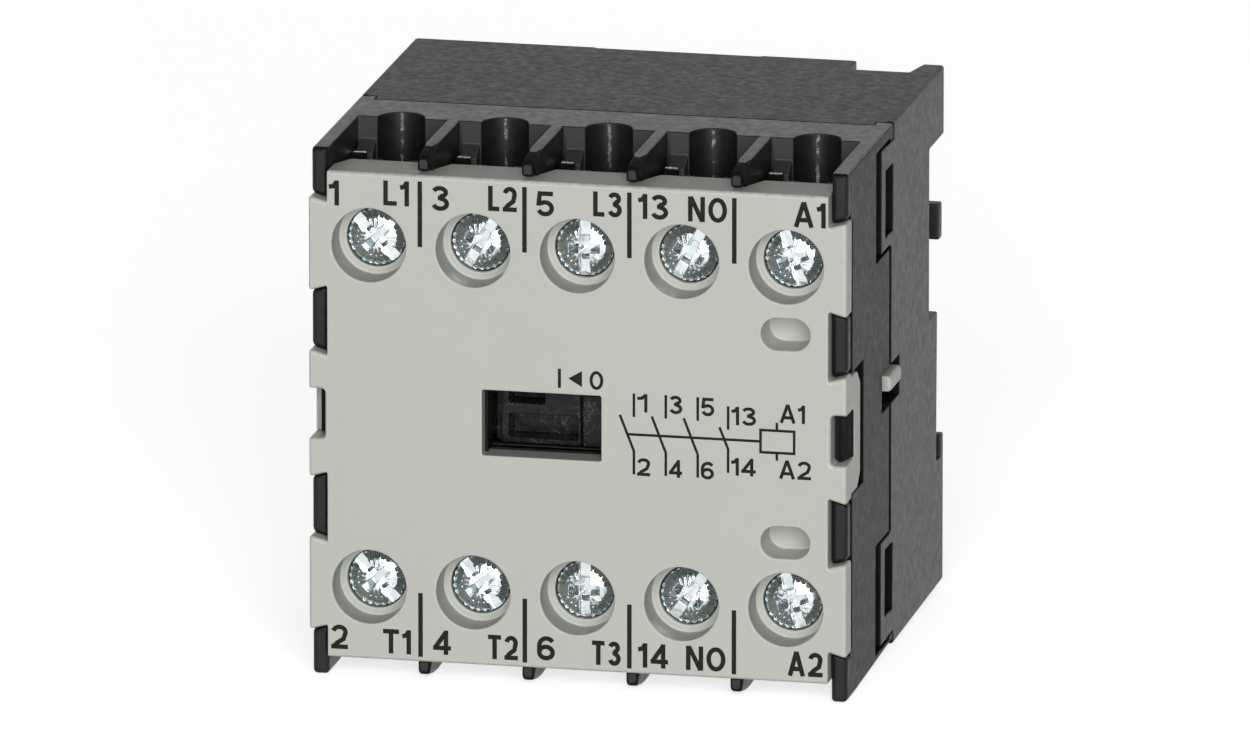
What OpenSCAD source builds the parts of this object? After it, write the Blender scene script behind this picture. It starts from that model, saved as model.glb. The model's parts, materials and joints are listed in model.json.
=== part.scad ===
// Four-pole mini contactor with captive screw terminals and a DIN-rail foot.
// Millimetres. +X right, +Z up, the front faces -Y. The origin is the centre of
// the rail seat, so every depth below is counted back from the front face and
// seated() moves the finished piece.

/* [Body] */
// Width of the front cover
cover_w = 44.9; // [44.6:0.1:45]
// Width of the two housings
body_w = 44.7; // [44.4:0.1:44.8]
// Height over the barrier ribs
body_h = 44.4; // [44:0.1:45]
// Depth from the cover face to the rail seat
body_depth = 39.4; // [39:0.1:40]
// Depth of the seam between contact housing and rear base
seam_y = 17.9; // [17.8:0.1:18.2]
// Wall thickness of the rear base
base_wall = 1.6; // [1.4:0.1:1.8]

/* [Terminals] */
// Spacing of the terminal columns
pitch = 8.7; // [8.6:0.05:8.75]
// Height of the screw axes above the middle
screw_z = 14.4; // [14.2:0.1:14.6]
// Radius of a screw head
head_r = 2.42; // [2.3:0.02:2.44]
// Radius of a screw shank
shank_r = 1.5; // [1.4:0.05:1.5]
// Radius of a screw well in the cover
well_r = 3.1; // [3:0.05:3.2]
// Thickness of the barrier ribs between columns
rib_t = 1; // [0.9:0.05:1.1]
// Distance the clamp plates and screws travel
clamp_travel = 3.5; // [2:0.5:3.5]

/* [Contacts] */
// Distance the contact carrier travels
carrier_travel = 3.4; // [3:0.1:3.4]
// Spring compression after the contacts touch
overtravel = 0.8; // [0.6:0.1:1]
// Height of the contact tips above the middle
tip_z = 5.6; // [5.4:0.1:5.8]
// Half height of the contact carrier
carrier_half = 2.4; // [2.2:0.1:2.4]

/* [Magnet] */
// Half height of the laminated core
core_half = 13.8; // [13.4:0.1:14]
// Width of the outer core legs
leg_w = 3.6; // [3.2:0.1:3.6]

/* [Rail foot] */
// Height of the mounting rail
rail_h = 35; // [34.8:0.1:35.2]
// Distance the rail latch pulls out
latch_travel = 3; // [2:0.5:3]

/* [Hidden] */
$fn = 48;
eps = 0.01;
gap = 0.1;                             // clearance between fixed mouldings
half_w = body_w / 2;
half_h = body_h / 2;
cover_half_w = cover_w / 2;
COLS = [-2, -1, 0, 1, 2];              // terminal columns, left to right
POLES = [-2, -1, 0, 1];                // the columns with switching contacts
SLOT_ANGLES = [45, 120, 90, 118, 71, 47, 52, 90, 125, 73]; // how each screw was left

// front cover
cover_t = 2;
cover_half_h = 20.5;
collar_r = 3.7;
ledge_r = 2.5;
ledge_y = [2.9, 3.6];                  // ring that keeps a screw captive
flange_y = 4.5;                        // lips over the wire pockets
flange_t = 1;
window_x = [-7.95, 2];
window_half = 2.75;
tongue_y = 5.5;                        // side snap tongues
tongue_half = 4.9;
tongue_x = cover_half_w - 0.8;
snap_half = 2.1;                       // hole in each tongue
finger_x = 17.35;                      // oblong pockets on the right
finger_z = 8.75;
finger_len = 4.1;
finger_w = 2.7;
finger_y = 3.4;
finger_floor = 0.7;

// contact housing
front_y = cover_t + gap;               // front of the housing behind the cover
tab_y = 0.8;                           // front of the dark tabs beside the cover
rib_y = 1;
end_wall_x = 21;                       // inner face of the end walls
pocket_back = 12.2;
pocket_floor = 10.4;                   // height where a wire pocket starts
chamber_half = 9.4;                    // half height of the contact chambers
chamber_y = 4.2;
groove_r = 1.95;
channel_half = carrier_half + 0.15;
boss_x = [-7.6, 5.4];                  // carrier boss seen in the window
tab_slot_y = [14.6, 21.6];             // slot of the interlock tab, across the seam
tab_slot_z = [-1.3, 2];
groove_depth = 0.5;                    // grooves beside the cover and along the seam
cover_groove_w = 0.75;
seam_groove_w = 0.4;
underside = [[2.1, -22.2], [20, -21.52]]; // depth and height of the housing's drafted underside
tab_z = [5.05, 10.65];                 // middle tabs beside the cover
end_tab_z = 17.95;                     // start of the corner tabs
tab_bevel = 0.7;
snap_z = [12.2, 20.9];                 // base tongues that lap the housing
snap_front = 14.3;
snap_recess = [12.2, 21.2];
snap_x = 21.3;
latch_win_y = [15.9, 18.9];
latch_win_z = [13.2, 18.8];
corner_key = [20.9, 1];                // start height and depth of the corner keys

// terminals
plate_y = [9.8, 10.8];
plate_top = 19;
finger_top = 19.8;                     // finger at the left of each plate
plate_half = 3.5;
clamp_y = [5, 6];
clamp_half = 3.4;
head_y = [2.7, 4.9];
shank_end = 12.9;

// contacts, relative to their column
arm_x = [-3.5, -2.5];
arm_y = [7.6, 10.8];
arm_low = 4;
tip_y = 9.2;
tip_r = 1.2;
tip_t = 0.6;
bridge_x = [1.3, 2.1];
bridge_half = 7;
bridge_half_w = 1.3;
cage_end = 5.4;                        // right end of a bridge's cage
beam_y = [5.6, 12.7];
beam_x = [-17.3, 15.3];
boss_y = 3.2;
cam_x = [13.6, 20.3];
cam_y = [12.6, 14.1];
cam_pin = [15.6, 0.95];
cam_r = 0.65;
cam_drop = 1.4;                        // how far the cam lowers the slider
slider_tab_y = [15.4, 19.5];
slider_tab_z = [0.4, 1.7];
neck_x = [10.9, 13.3];
yoke_y = [18.2, 32.5];
yoke_half = 8.8;

// magnet
core_x = [-18.5, 3];
core_y = [23.5, 31.5];
core_back = 4;
mid_leg_half = 3.6;
armature_x = [6.6, 10.9];
pin_r = 0.8;
pin_x = 9.6;
bobbin_x = [-14.3, 2.8];
bobbin_half = 9.9;
bobbin_y = [19.3, 35.7];
bobbin_flange = 1;
bobbin_wall = 0.8;
winding_inset = 0.9;
ring_t = 0.6;
ring_x = [1.6, 2.6];
spring_y = 21.4;
spring_z = 6.5;

// rear base and rail foot
cavity_back = 36;
step_y = 32;                           // the cavity narrows behind this depth
step_x = 17.4;
base_underside = [[17.9, -22], [39.4, -21.6]]; // depth and height of the base's drafted underside
rear_cut_y = 33.6;                     // cut-outs of the rear edge, with an ear between
ear_y = 38.2;
ear_x = 22.2;
ear_z = [7.6, 10.64];
hook_x = [7, 13];
hook_reach = 4.5;
hook_lip = 1.3;                        // gap for the rail's 1 mm flange
hook_nose = 1.2;
hook_h = 3;
relief_y = [body_depth - 0.2, body_depth + hook_lip]; // set-back beneath the hooks
latch_half = 6.5;
latch_mouth = 5.3;
latch_slot_y = [36.8, 38.2];
latch_top = -8.5;
latch_spring_top = -1.5;
latch_spring_y = 37.9;

// ---------------------------------------------------------------- helpers
module seated() translate([0, -body_depth, 0]) children();

// a block given by its lowest and highest x, y and z
module block(x, y, z)
  translate([x[0], y[0], z[0]]) cube([x[1] - x[0], y[1] - y[0], z[1] - z[0]]);

// an outline in X and Z, extruded between two depths
module upright(y) translate([0, y[1], 0]) rotate([90, 0, 0])
  linear_extrude(y[1] - y[0]) children();

// an outline in Y and Z, extruded between two x
module sideways(x) translate([x[0], 0, 0]) rotate([90, 0, 90])
  linear_extrude(x[1] - x[0]) children();

module both_sides() { children(); mirror([1, 0, 0]) children(); }
module both_rows() { children(); mirror([0, 0, 1]) children(); }

// a round bar along Y
module bar_y(r, y) translate([0, y[0], 0]) rotate([-90, 0, 0])
  cylinder(r = r, h = y[1] - y[0]);

// a round bar along X
module bar_x(r, x) translate([x[0], 0, 0]) rotate([0, 90, 0])
  cylinder(r = r, h = x[1] - x[0]);

function column_x(col) = col * pitch;

// what lies below a line from one depth and height to another
module below(line) sideways([-half_w - 1, half_w + 1])
  polygon([line[0], line[1], [line[1][0] + eps, -half_h - 1], [line[0][0], -half_h - 1]]);

// coil spring along +X: a ring of points for each step of the helix
module spring(length, r, wire_r, turns) {
  steps = round(turns * 12);
  sides = 6;
  points = [for (i = [0:steps], j = [0:sides - 1])
    let (a = i * 30, b = j * 360 / sides, ring = r + wire_r * cos(b))
    [wire_r + (length - 2 * wire_r) * i / steps + wire_r * sin(b),
     ring * cos(a), ring * sin(a)]];
  skin = [for (i = [0:steps - 1], j = [0:sides - 1])
    let (k = (j + 1) % sides)
    [i * sides + j, i * sides + k, (i + 1) * sides + k, (i + 1) * sides + j]];
  first = [for (j = [sides - 1:-1:0]) j];
  last = [for (j = [0:sides - 1]) steps * sides + j];
  polyhedron(points, concat([first], skin, [last]));
}

// ---------------------------------------------------------------- front cover
// a trapezoid beside the cover: the dark tabs, grown by `grow` for their notches
module tab_outline(z0, z1, grow)
  polygon([[end_wall_x - grow, z0 - grow], [half_w + 1, z0 + tab_bevel - grow],
    [half_w + 1, z1 - tab_bevel + grow], [end_wall_x - grow, z1 + grow]]);

module cover_outline() difference() {
  square([cover_w, 2 * cover_half_h], center = true);
  for (side = [0, 1], row = [0, 1]) mirror([side, 0]) mirror([0, row]) {
    tab_outline(tab_z[0], tab_z[1], gap);
    tab_outline(end_tab_z, half_h + 2, gap);
  }
  for (side = [0, 1]) mirror([side, 0])
    translate([end_wall_x + gap, -snap_half]) square([3, 2 * snap_half]);
}

module oblong(length, width) {
  square([length - width, width], center = true);
  for (s = [-1, 1]) translate([s * (length - width) / 2, 0]) circle(width / 2);
}

// lip over a wire pocket, with one slanted corner
module cover_lip(col) {
  low = max(column_x(col) - pitch / 2 + rib_t / 2, -end_wall_x) + gap;
  high = min(column_x(col) + pitch / 2 - rib_t / 2, end_wall_x) - gap;
  slant = 1;
  translate([0, 0, cover_half_h - flange_t]) linear_extrude(flange_t)
    polygon([[low, 0], [high, 0], [high, flange_y], [low + slant, flange_y],
      [low, flange_y - 2 * slant]]);
}

module side_tongue() difference() {
  sideways([tongue_x, cover_half_w]) difference() {
    translate([0, -tongue_half]) square([tongue_y, 2 * tongue_half]);
    for (s = [0, 1]) mirror([0, s]) translate([tongue_y, tongue_half])
      rotate(45) square(1.6, center = true);
  }
  block([tongue_x - 1, cover_half_w + 1], [-1, 3.1], [-snap_half, snap_half]);
}

module front_cover() color([0.74, 0.74, 0.71]) seated() difference() {
  union() {
    upright([0, cover_t]) cover_outline();
    both_rows() for (col = COLS) {
      cover_lip(col);
      translate([column_x(col), 0, screw_z]) bar_y(collar_r, [eps, ledge_y[1]]);
    }
    both_sides() side_tongue();
    both_rows() translate([finger_x, 0, finger_z])
      upright([eps, finger_y + finger_floor]) oblong(finger_len + 1.4, finger_w + 1.4);
    block([window_x[0] - 0.7, window_x[1] + 0.7], [eps, boss_y - 0.2],
      [-window_half - 0.7, window_half + 0.7]);
  }
  both_rows() for (col = COLS) translate([column_x(col), 0, screw_z]) {
    bar_y(well_r, [-1, ledge_y[0]]);
    bar_y(ledge_r, [-1, ledge_y[1] + 1]);
  }
  both_rows() translate([finger_x, 0, finger_z])
    upright([-1, finger_y]) oblong(finger_len, finger_w);
  block(window_x, [-1, boss_y + 1], [-window_half, window_half]);
}

// ---------------------------------------------------------------- contact housing
// wire pocket above one terminal, open to the outside
module wire_pocket(col) {
  low = max(column_x(col) - pitch / 2 + rib_t / 2, -end_wall_x);
  high = min(column_x(col) + pitch / 2 - rib_t / 2, end_wall_x);
  block([low, high], [-1, pocket_back], [pocket_floor, half_h + 1]);
  translate([column_x(col), pocket_back, pocket_floor])
    cylinder(r = groove_r, h = half_h);
  translate([column_x(col), 0, screw_z])
    bar_y(shank_r + 0.3, [pocket_back - 1, shank_end + clamp_travel + 0.5]);
}

// ledges behind a terminal plate, sloping back above it
module plate_ledges(col) {
  for (s = [0, 1]) translate([column_x(col), 0, 0]) mirror([s, 0, 0])
    sideways([2.1, plate_half])
      polygon([[plate_y[1], pocket_floor - eps], [pocket_back + eps, pocket_floor - eps],
        [pocket_back + eps, finger_top + 0.5], [plate_y[1], finger_top - 0.4]]);
}

// room for one pole's contacts, open to the rear
module pole_chamber(col)
  block([max(column_x(col) - pitch / 2 + rib_t / 2, -end_wall_x),
    column_x(col) + pitch / 2 - rib_t / 2],
    [chamber_y, seam_y + 1], [-chamber_half, chamber_half]);

// slot that a fixed contact's arm passes through
module arm_slot(col)
  block([column_x(col) + arm_x[0] - gap, column_x(col) + arm_x[1] + gap],
    [arm_y[0] - gap, arm_y[1] + gap], [chamber_half - 1, pocket_floor + 1]);

// rib between two wire pockets, with its slanted nose above the cover
module barrier_rib(x) translate([x - rib_t / 2, 0, 0]) sideways([0, rib_t])
  polygon([[front_y, pocket_floor - 1], [front_y, cover_half_h + gap],
    [rib_y, cover_half_h + gap], [rib_y, half_h - 0.4], [rib_y + 2.2, half_h],
    [pocket_back + 1, half_h], [pocket_back + 1, pocket_floor - 1]]);

module housing_tabs() {
  intersection() {
    both_sides() both_rows() upright([tab_y, front_y + 1]) {
      tab_outline(tab_z[0], tab_z[1], 0);
      tab_outline(end_tab_z, half_h + 2, 0);
    }
    block([-half_w, half_w], [0, 5], [-half_h, half_h]);
  }
}

// recess in the side wall where a cover tongue snaps over a wedge
module tongue_seat() {
  difference() {
    block([tongue_x - gap, half_w + 1], [-1, tongue_y + 1.8],
      [-tongue_half - 0.25, tongue_half + 0.25]);
    translate([0, 0, -snap_half + gap]) linear_extrude(2 * (snap_half - gap))
      polygon([[tongue_x - 1, 0.9], [tongue_x + 0.2, 0.9], [half_w - 0.2, 2.6],
        [half_w - 0.2, 3], [tongue_x - 1, 3]]);
  }
}

// wedge that holds a snap tongue of the base by its window
module snap_nose() translate([0, 0, latch_win_z[0] + 0.3])
  linear_extrude(latch_win_z[1] - latch_win_z[0] - 0.6)
    polygon([[snap_x - 0.5, 16.1], [snap_x - gap, 16.1], [half_w - 0.3, 17],
      [half_w - 0.3, seam_y - 0.2], [snap_x - 0.5, seam_y - 0.2]]);

module contact_housing() color([0.3, 0.3, 0.3]) seated() difference() {
  union() {
    difference() {
      union() {
        block([-half_w, half_w], [front_y, seam_y], [-half_h, half_h]);
        both_sides() block([end_wall_x, half_w], [seam_y - eps, seam_y + corner_key[1]],
          [corner_key[0], half_h]);
        both_sides() mirror([0, 0, 1]) block([end_wall_x, half_w],
          [seam_y - eps, seam_y + corner_key[1]], [corner_key[0], half_h]);
      }
      both_rows() for (col = COLS) wire_pocket(col);
      // the top is set back beside the cover's lips
      both_rows() block([-end_wall_x, end_wall_x], [-1, pocket_back],
        [cover_half_h - flange_t - gap, half_h + 1]);
    }
    both_rows() for (k = [-1.5, -0.5, 0.5, 1.5]) barrier_rib(k * pitch);
    both_rows() for (col = COLS) plate_ledges(col);
    housing_tabs();
  }
  for (col = POLES) {
    pole_chamber(col);
    both_rows() arm_slot(col);
  }
  // chamber of the interlock slider, with its guide rib on the left
  difference() {
    block([1.5 * pitch + rib_t / 2, end_wall_x], [chamber_y, seam_y + 1],
      [-chamber_half, chamber_half]);
    both_rows() block([1.5 * pitch, 14.1], [cam_y[1] + 0.2, seam_y],
      [channel_half, chamber_half + 1]);
  }
  // channel of the carrier through all chambers, and its boss behind the window
  block([-end_wall_x, end_wall_x], [beam_y[0] - 0.2, seam_y + 1],
    [-channel_half, channel_half]);
  block([boss_x[0] - carrier_travel - 0.2, boss_x[1] + 0.2], [0, chamber_y + 2],
    [-channel_half, channel_half]);
  // room for the cover's window frame, screw collars and oblong pockets
  block([window_x[0] - 0.8, window_x[1] + 0.8], [0, boss_y + 0.1],
    [-window_half - 0.8, window_half + 0.8]);
  both_rows() for (col = COLS) translate([column_x(col), 0, screw_z])
    bar_y(collar_r + gap, [0, ledge_y[1] + gap]);
  both_rows() translate([finger_x, 0, finger_z])
    upright([0, finger_y + finger_floor + gap]) oblong(finger_len + 1.6, finger_w + 1.6);
  both_sides() {
    tongue_seat();
    block([half_w - groove_depth, half_w + 1], [front_y - eps, front_y + cover_groove_w],
      [-end_tab_z, end_tab_z]);
    block([half_w - groove_depth, half_w + 1], [seam_y - seam_groove_w, seam_y + eps],
      [-corner_key[0], corner_key[0]]);
  }
  below(underside);
  // seats of the base's snap tongues, with the side slot of the interlock
  both_sides() both_rows() difference() {
    block([snap_x - gap, half_w + 1], [snap_recess[0], seam_y + eps],
      [snap_z[0] - 0.3, snap_recess[1]]);
    snap_nose();
  }
  block([end_wall_x - 1, half_w + 1], tab_slot_y, tab_slot_z);
  // slots for the coil strips
  both_rows() block([2 * pitch - 1.1, 2 * pitch + 1.1], [plate_y[1] - 1, seam_y + 1],
    [pocket_floor - gap, pocket_floor + 1]);
}

// ---------------------------------------------------------------- rear base
module base_snap() difference() {
  block([snap_x, half_w], [snap_front, seam_y + 2], snap_z);
  block([snap_x - 1, half_w + 1], latch_win_y, latch_win_z);
}

// cut-outs along the rear edge of a side wall
module rear_edge_cuts() {
  x = [step_x + base_wall, half_w + 1];
  difference() {
    block(x, [rear_cut_y, body_depth + 1], [1.9, 16.4]);
    block([x[0] - 1, ear_x], [ear_y, body_depth], ear_z);
  }
  block(x, [36.9, body_depth + 1], [-9, 1.9 + eps]);
  block([half_w - 0.8, half_w + 1], [36.9, 38.4], [-10.9, -9 + eps]);
}

// fixed hooks over the rail's upper edge
module rail_hook() sideways(hook_x)
  polygon([[body_depth - 1, rail_h / 2 + gap], [body_depth + hook_lip, rail_h / 2 + gap],
    [body_depth + hook_lip, rail_h / 2 - hook_nose],
    [body_depth + hook_reach - 1, rail_h / 2 - hook_nose],
    [body_depth + hook_reach, rail_h / 2], [body_depth + hook_reach, rail_h / 2 + hook_h - 1],
    [body_depth + hook_reach - 1, rail_h / 2 + hook_h],
    [body_depth - 1, rail_h / 2 + hook_h]]);

module rear_base() color([0.27, 0.27, 0.27]) seated() {
  difference() {
    union() {
      block([-half_w, half_w], [seam_y, body_depth], [-half_h, half_h]);
      both_sides() rail_hook();
      both_sides() both_rows() base_snap();
    }
    block([-half_w + base_wall, half_w - base_wall], [seam_y - 1, step_y],
      [-half_h + base_wall, half_h - base_wall]);
    block([-step_x, step_x], [step_y - eps, cavity_back],
      [-half_h + base_wall, half_h - base_wall]);
    both_sides() both_rows() {
      block([snap_x - 1, half_w + 1], latch_win_y, latch_win_z);
      block([end_wall_x - gap, half_w + 1], [seam_y - 1, seam_y + corner_key[1] + gap],
        [corner_key[0] - gap, half_h + 1]);
    }
    both_sides() {
      rear_edge_cuts();
      both_rows() block([half_w - groove_depth, half_w + 1],
        [seam_y - eps, seam_y + seam_groove_w], [-eps, snap_z[0] - 0.2]);
      both_rows() block([half_w - groove_depth, half_w + 1],
        [seam_y, seam_y + corner_key[1] + seam_groove_w], [corner_key[0] - gap, half_h + 1]);
    }
    below(base_underside);
    block([half_w - base_wall - 1, half_w + 1], tab_slot_y, tab_slot_z);
    // the rear face is set back beneath the fixed hooks, up to its upper edge
    block([-end_wall_x, end_wall_x], relief_y,
      [rail_h / 2 - hook_nose - gap, rail_h / 2 + gap - eps]);
    block([-hook_x[0], hook_x[0]], relief_y, [rail_h / 2, half_h + 1]);
    // notches in the rear edge, on one diagonal
    for (turn = [0, 180]) rotate([0, turn, 0])
      translate([0, body_depth + 1, half_h - 3]) linear_extrude(4)
        polygon([[15, 0], [15, -4], [20, -4], [20.8, 0]]);
    // slot of the rail latch and its spring
    block([-latch_half - gap, latch_half + gap], latch_slot_y + [-gap, gap],
      [-half_h - 1, latch_top + gap]);
    block([-latch_mouth - gap, latch_mouth + gap], [latch_slot_y[1], body_depth + 1],
      [-half_h - 1, latch_top + gap]);
    block([-1.7, 1.7], [latch_spring_y - 1.4, body_depth + 1],
      [latch_top, latch_spring_top]);
  }
  // ribs that carry the core pad and the bobbin
  for (z = [-11, 0, 11])
    block([-half_w + base_wall - eps, core_x[0] - 1], core_y, [z - 0.8, z + 0.8]);
  both_rows() for (x = [-10, -1])
    block([x - 0.6, x + 0.6], core_y, [core_half + gap, half_h - base_wall + eps]);
}

// ---------------------------------------------------------------- moving contacts
// inclined slot that turns the carrier's travel into the slider's drop
module cam_slot() {
  run = norm([carrier_travel, cam_drop]);
  translate([cam_pin[0], 0, cam_pin[1]]) rotate([0, atan2(cam_drop, carrier_travel), 0])
    translate([run / 2, 0, 0]) upright(cam_y + [-1, 1])
      oblong(run + 2 * cam_r + 0.3, 2 * cam_r + 0.3);
}

module contact_carrier() color([0.13, 0.13, 0.14]) seated() {
  half = [-carrier_half, carrier_half];
  tongue = [armature_x[0] + 1.7, armature_x[1] + eps];
  difference() {
    union() {
      block(beam_x, beam_y, half);
      block(boss_x, [boss_y, beam_y[0] + eps], half);
      block(cam_x, cam_y, half);
      block(neck_x, [beam_y[1] - eps, yoke_y[0] + eps], half);
      block(neck_x, yoke_y, [-yoke_half, yoke_half]);
      block(tongue, [core_y[0] + 1, core_y[1] - 1], [-2.7, 2.7]);
    }
    // cages of the contact bridges
    for (col = POLES)
      block([column_x(col) + bridge_x[0], column_x(col) + cage_end],
        [tip_y - bridge_half_w - 0.2, tip_y + bridge_half_w + 0.2], half + [-1, 1]);
    // pockets in the boss that the window shows
    block([-6.4, -0.6], [boss_y - 1, boss_y + 2], [-1.9, 0.1]);
    block([-6.4, -3.4], [boss_y - 1, boss_y + 2], [1, carrier_half + 1]);
    block([-0.4, -0.2], [boss_y - 1, boss_y + 0.5], half + [-1, 1]);
    block([-0.2 - eps, 2.4], [boss_y - 1, boss_y + 0.5], [1.9, carrier_half + 1]);
    block([boss_x[0] - 1, -7], [boss_y - 1, boss_y + 0.8], half + [-1, 1]);
    cam_slot();
    translate([pin_x, (core_y[0] + core_y[1]) / 2, -4]) cylinder(r = pin_r + 0.05, h = 8);
  }
}

module interlock_slider() color([0.7, 0.7, 0.7]) seated() {
  block([14.2, 18.6], [cam_y[1] + 0.2, 17.2], [-0.4, 3.4]);
  block([18.6 - eps, end_wall_x - 0.2], [cam_y[1] + 0.2, 17.2], [slider_tab_z[0], 3.4]);
  block([end_wall_x - 1, half_w + 0.65], slider_tab_y, slider_tab_z);
  translate([cam_pin[0], 0, cam_pin[1]]) bar_y(cam_r, [12.8, cam_y[1] + 0.2 + eps]);
}

module armature() color([0.45, 0.46, 0.48]) seated() difference() {
  block(armature_x, core_y, [-core_half, core_half]);
  block([armature_x[0] + 1.6, armature_x[1] + 1], core_y + [-1, 1], [-2.8, 2.8]);
  translate([pin_x, (core_y[0] + core_y[1]) / 2, -6]) cylinder(r = pin_r + 0.02, h = 12);
}

module armature_pin() color([0.7, 0.7, 0.72]) seated()
  translate([pin_x, (core_y[0] + core_y[1]) / 2, -5.9]) cylinder(r = pin_r, h = 11.8);

module contact_bridge(col) color([0.75, 0.5, 0.3]) seated() translate([column_x(col), 0, 0]) {
  block(bridge_x, [tip_y - bridge_half_w, tip_y + bridge_half_w], [-bridge_half, bridge_half]);
  both_rows() translate([0, tip_y, tip_z]) bar_x(tip_r, [bridge_x[0] - tip_t, bridge_x[0] + eps]);
}

module contact_spring(col) color([0.7, 0.7, 0.72]) seated()
  translate([column_x(col) + bridge_x[1] + 0.05, tip_y, 0])
    spring(cage_end - bridge_x[1] - 0.1, 1.15, 0.16, 3.5);

// ---------------------------------------------------------------- terminals
module terminal_plate(x) difference() {
  union() {
    block([x - plate_half, x + plate_half], plate_y, [pocket_floor + 0.05, plate_top]);
    block([x - plate_half, x - 2.4], [plate_y[0], plate_y[0] + 0.4], [plate_top - eps, finger_top]);
  }
  translate([x, 0, screw_z]) bar_y(shank_r + 0.03, plate_y + [-1, 1]);
  // notch that lets a wire into the groove behind the plate
  block([x - 1.2, x + 1.2], plate_y + [-1, 1], [plate_top - 0.7, plate_top + 1]);
}

// row is 0 for the upper terminals and 1 for the lower ones
module fixed_contact(col, row) color([0.8, 0.55, 0.3]) seated() mirror([0, 0, row])
  translate([column_x(col), 0, 0]) {
    terminal_plate(0);
    block(arm_x, arm_y, [arm_low, pocket_floor + 0.4]);
    translate([0, tip_y, tip_z])
      bar_x(tip_r, [arm_x[1] - eps, bridge_x[0] - tip_t - (carrier_travel - overtravel) - 0.02]);
  }

module coil_terminal(row) color([0.8, 0.55, 0.3]) seated() mirror([0, 0, row]) {
  x = 2 * pitch;
  z = [pocket_floor + 0.05, pocket_floor + 0.85];
  strip_y = [19.6, 20.4];
  terminal_plate(x);
  block([x - 1, x + 1], [plate_y[1] - eps, strip_y[1]], z);
  block([bobbin_x[1] - 1, x + 1], strip_y, z);
}

module clamp_plate(col, row) color([0.75, 0.75, 0.76]) seated() mirror([0, 0, row])
  translate([column_x(col), 0, screw_z]) difference() {
    upright(clamp_y) polygon([for (q = [0:3], s = [-1, 1])
      let (a = 90 * q, u = clamp_half, v = clamp_half - 0.7)
      [u * cos(a) - s * v * sin(a), u * sin(a) + s * v * cos(a)]]);
    bar_y(shank_r + 0.1, clamp_y + [-1, 1]);
  }

// pan head with a slot and a shorter cross recess
module terminal_screw(col, row) color([0.8, 0.82, 0.85]) seated()
  translate([column_x(col), 0, (1 - 2 * row) * screw_z])
    rotate([0, SLOT_ANGLES[col + 2 + 5 * row], 0]) difference() {
      rotate([-90, 0, 0]) rotate_extrude() polygon([[0, head_y[0]], [1.2, head_y[0]],
        [1.9, head_y[0] + 0.2], [head_r - 0.08, head_y[0] + 0.6], [head_r, head_y[0] + 0.85],
        [head_r, head_y[1]], [shank_r, head_y[1]], [shank_r, shank_end - 0.5],
        [shank_r - 0.5, shank_end], [0, shank_end]]);
      block([-3, 3], [head_y[0] - 1, head_y[0] + 0.9], [-0.4, 0.4]);
      block([-0.4, 0.4], [head_y[0] - 1, head_y[0] + 1.3], [-1.5, 1.5]);
      block([-1.5, 1.5], [head_y[0] - 1, head_y[0] + 1.3], [-0.4, 0.4]);
    }

// ---------------------------------------------------------------- magnet
module magnet_core() color([0.42, 0.43, 0.45]) seated() difference() {
  union() {
    block([core_x[0], core_x[0] + core_back], core_y, [-core_half, core_half]);
    block(core_x, core_y, [-mid_leg_half, mid_leg_half]);
    both_rows() block(core_x, core_y, [core_half - leg_w, core_half]);
  }
  both_rows() block([ring_x[0] - 0.02, core_x[1] + 1], core_y + [-1, 1],
    [core_half - 2.4 - 0.02, core_half - 2.4 + ring_t + 0.02]);
}

module core_pad() color([0.1, 0.1, 0.1]) seated()
  block([core_x[0] - 1, core_x[0]], core_y, [-core_half, core_half]);

module shading_rings() color([0.8, 0.45, 0.25]) seated() both_rows()
  difference() {
    block(ring_x, core_y + [-ring_t - 0.02, ring_t + 0.02],
      [core_half - 2.4, core_half + ring_t + 0.02]);
    block(ring_x + [-1, 1], core_y + [-0.02, 0.02],
      [core_half - 2.4 + ring_t, core_half + 0.02]);
  }

module bobbin_tube(grow)
  block(bobbin_x, core_y + [-0.1 - grow, 0.1 + grow],
    [-mid_leg_half - 0.1 - grow, mid_leg_half + 0.1 + grow]);

module coil_bobbin() color([0.85, 0.83, 0.76]) seated() difference() {
  union() {
    bobbin_tube(bobbin_wall);
    for (x = [bobbin_x[0], bobbin_x[1] - bobbin_flange])
      block([x, x + bobbin_flange], bobbin_y, [-bobbin_half, bobbin_half]);
    both_rows() block([bobbin_x[1] - bobbin_flange, bobbin_x[1]], [19.3, 21],
      [bobbin_half - eps, pocket_floor + 0.05]);
  }
  block(bobbin_x + [-1, 1], core_y + [-0.1, 0.1],
    [-mid_leg_half - 0.1, mid_leg_half + 0.1]);
}

module coil_winding() color([0.7, 0.35, 0.15]) seated() difference() {
  block([bobbin_x[0] + bobbin_flange, bobbin_x[1] - bobbin_flange],
    bobbin_y + [winding_inset, -winding_inset],
    [-bobbin_half + winding_inset, bobbin_half - winding_inset]);
  bobbin_tube(bobbin_wall);
}

module return_spring(row) color([0.7, 0.7, 0.72]) seated()
  translate([bobbin_x[1] + 0.05, spring_y, (1 - 2 * row) * spring_z])
    spring(neck_x[0] - bobbin_x[1] - 0.1, 1.3, 0.2, 6);

// ---------------------------------------------------------------- rail latch
module din_latch() color([0.18, 0.18, 0.18]) seated() {
  low = -half_h + 0.2;
  block([-latch_half, latch_half], latch_slot_y, [low, latch_top]);
  block([-latch_mouth, latch_mouth], [latch_slot_y[1] - eps, body_depth - 0.1], [low, latch_top]);
  mirror([0, 0, 1]) sideways([-latch_mouth, latch_mouth])
    polygon([[body_depth - 0.1 - eps, rail_h / 2 + gap], [body_depth + hook_lip, rail_h / 2 + gap],
      [body_depth + hook_lip, rail_h / 2 - hook_nose],
      [body_depth + hook_lip + 0.8, rail_h / 2 - hook_nose],
      [body_depth + hook_reach, rail_h / 2 + 0.8], [body_depth + hook_reach, -low],
      [body_depth - 0.1 - eps, -low]]);
}

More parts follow.
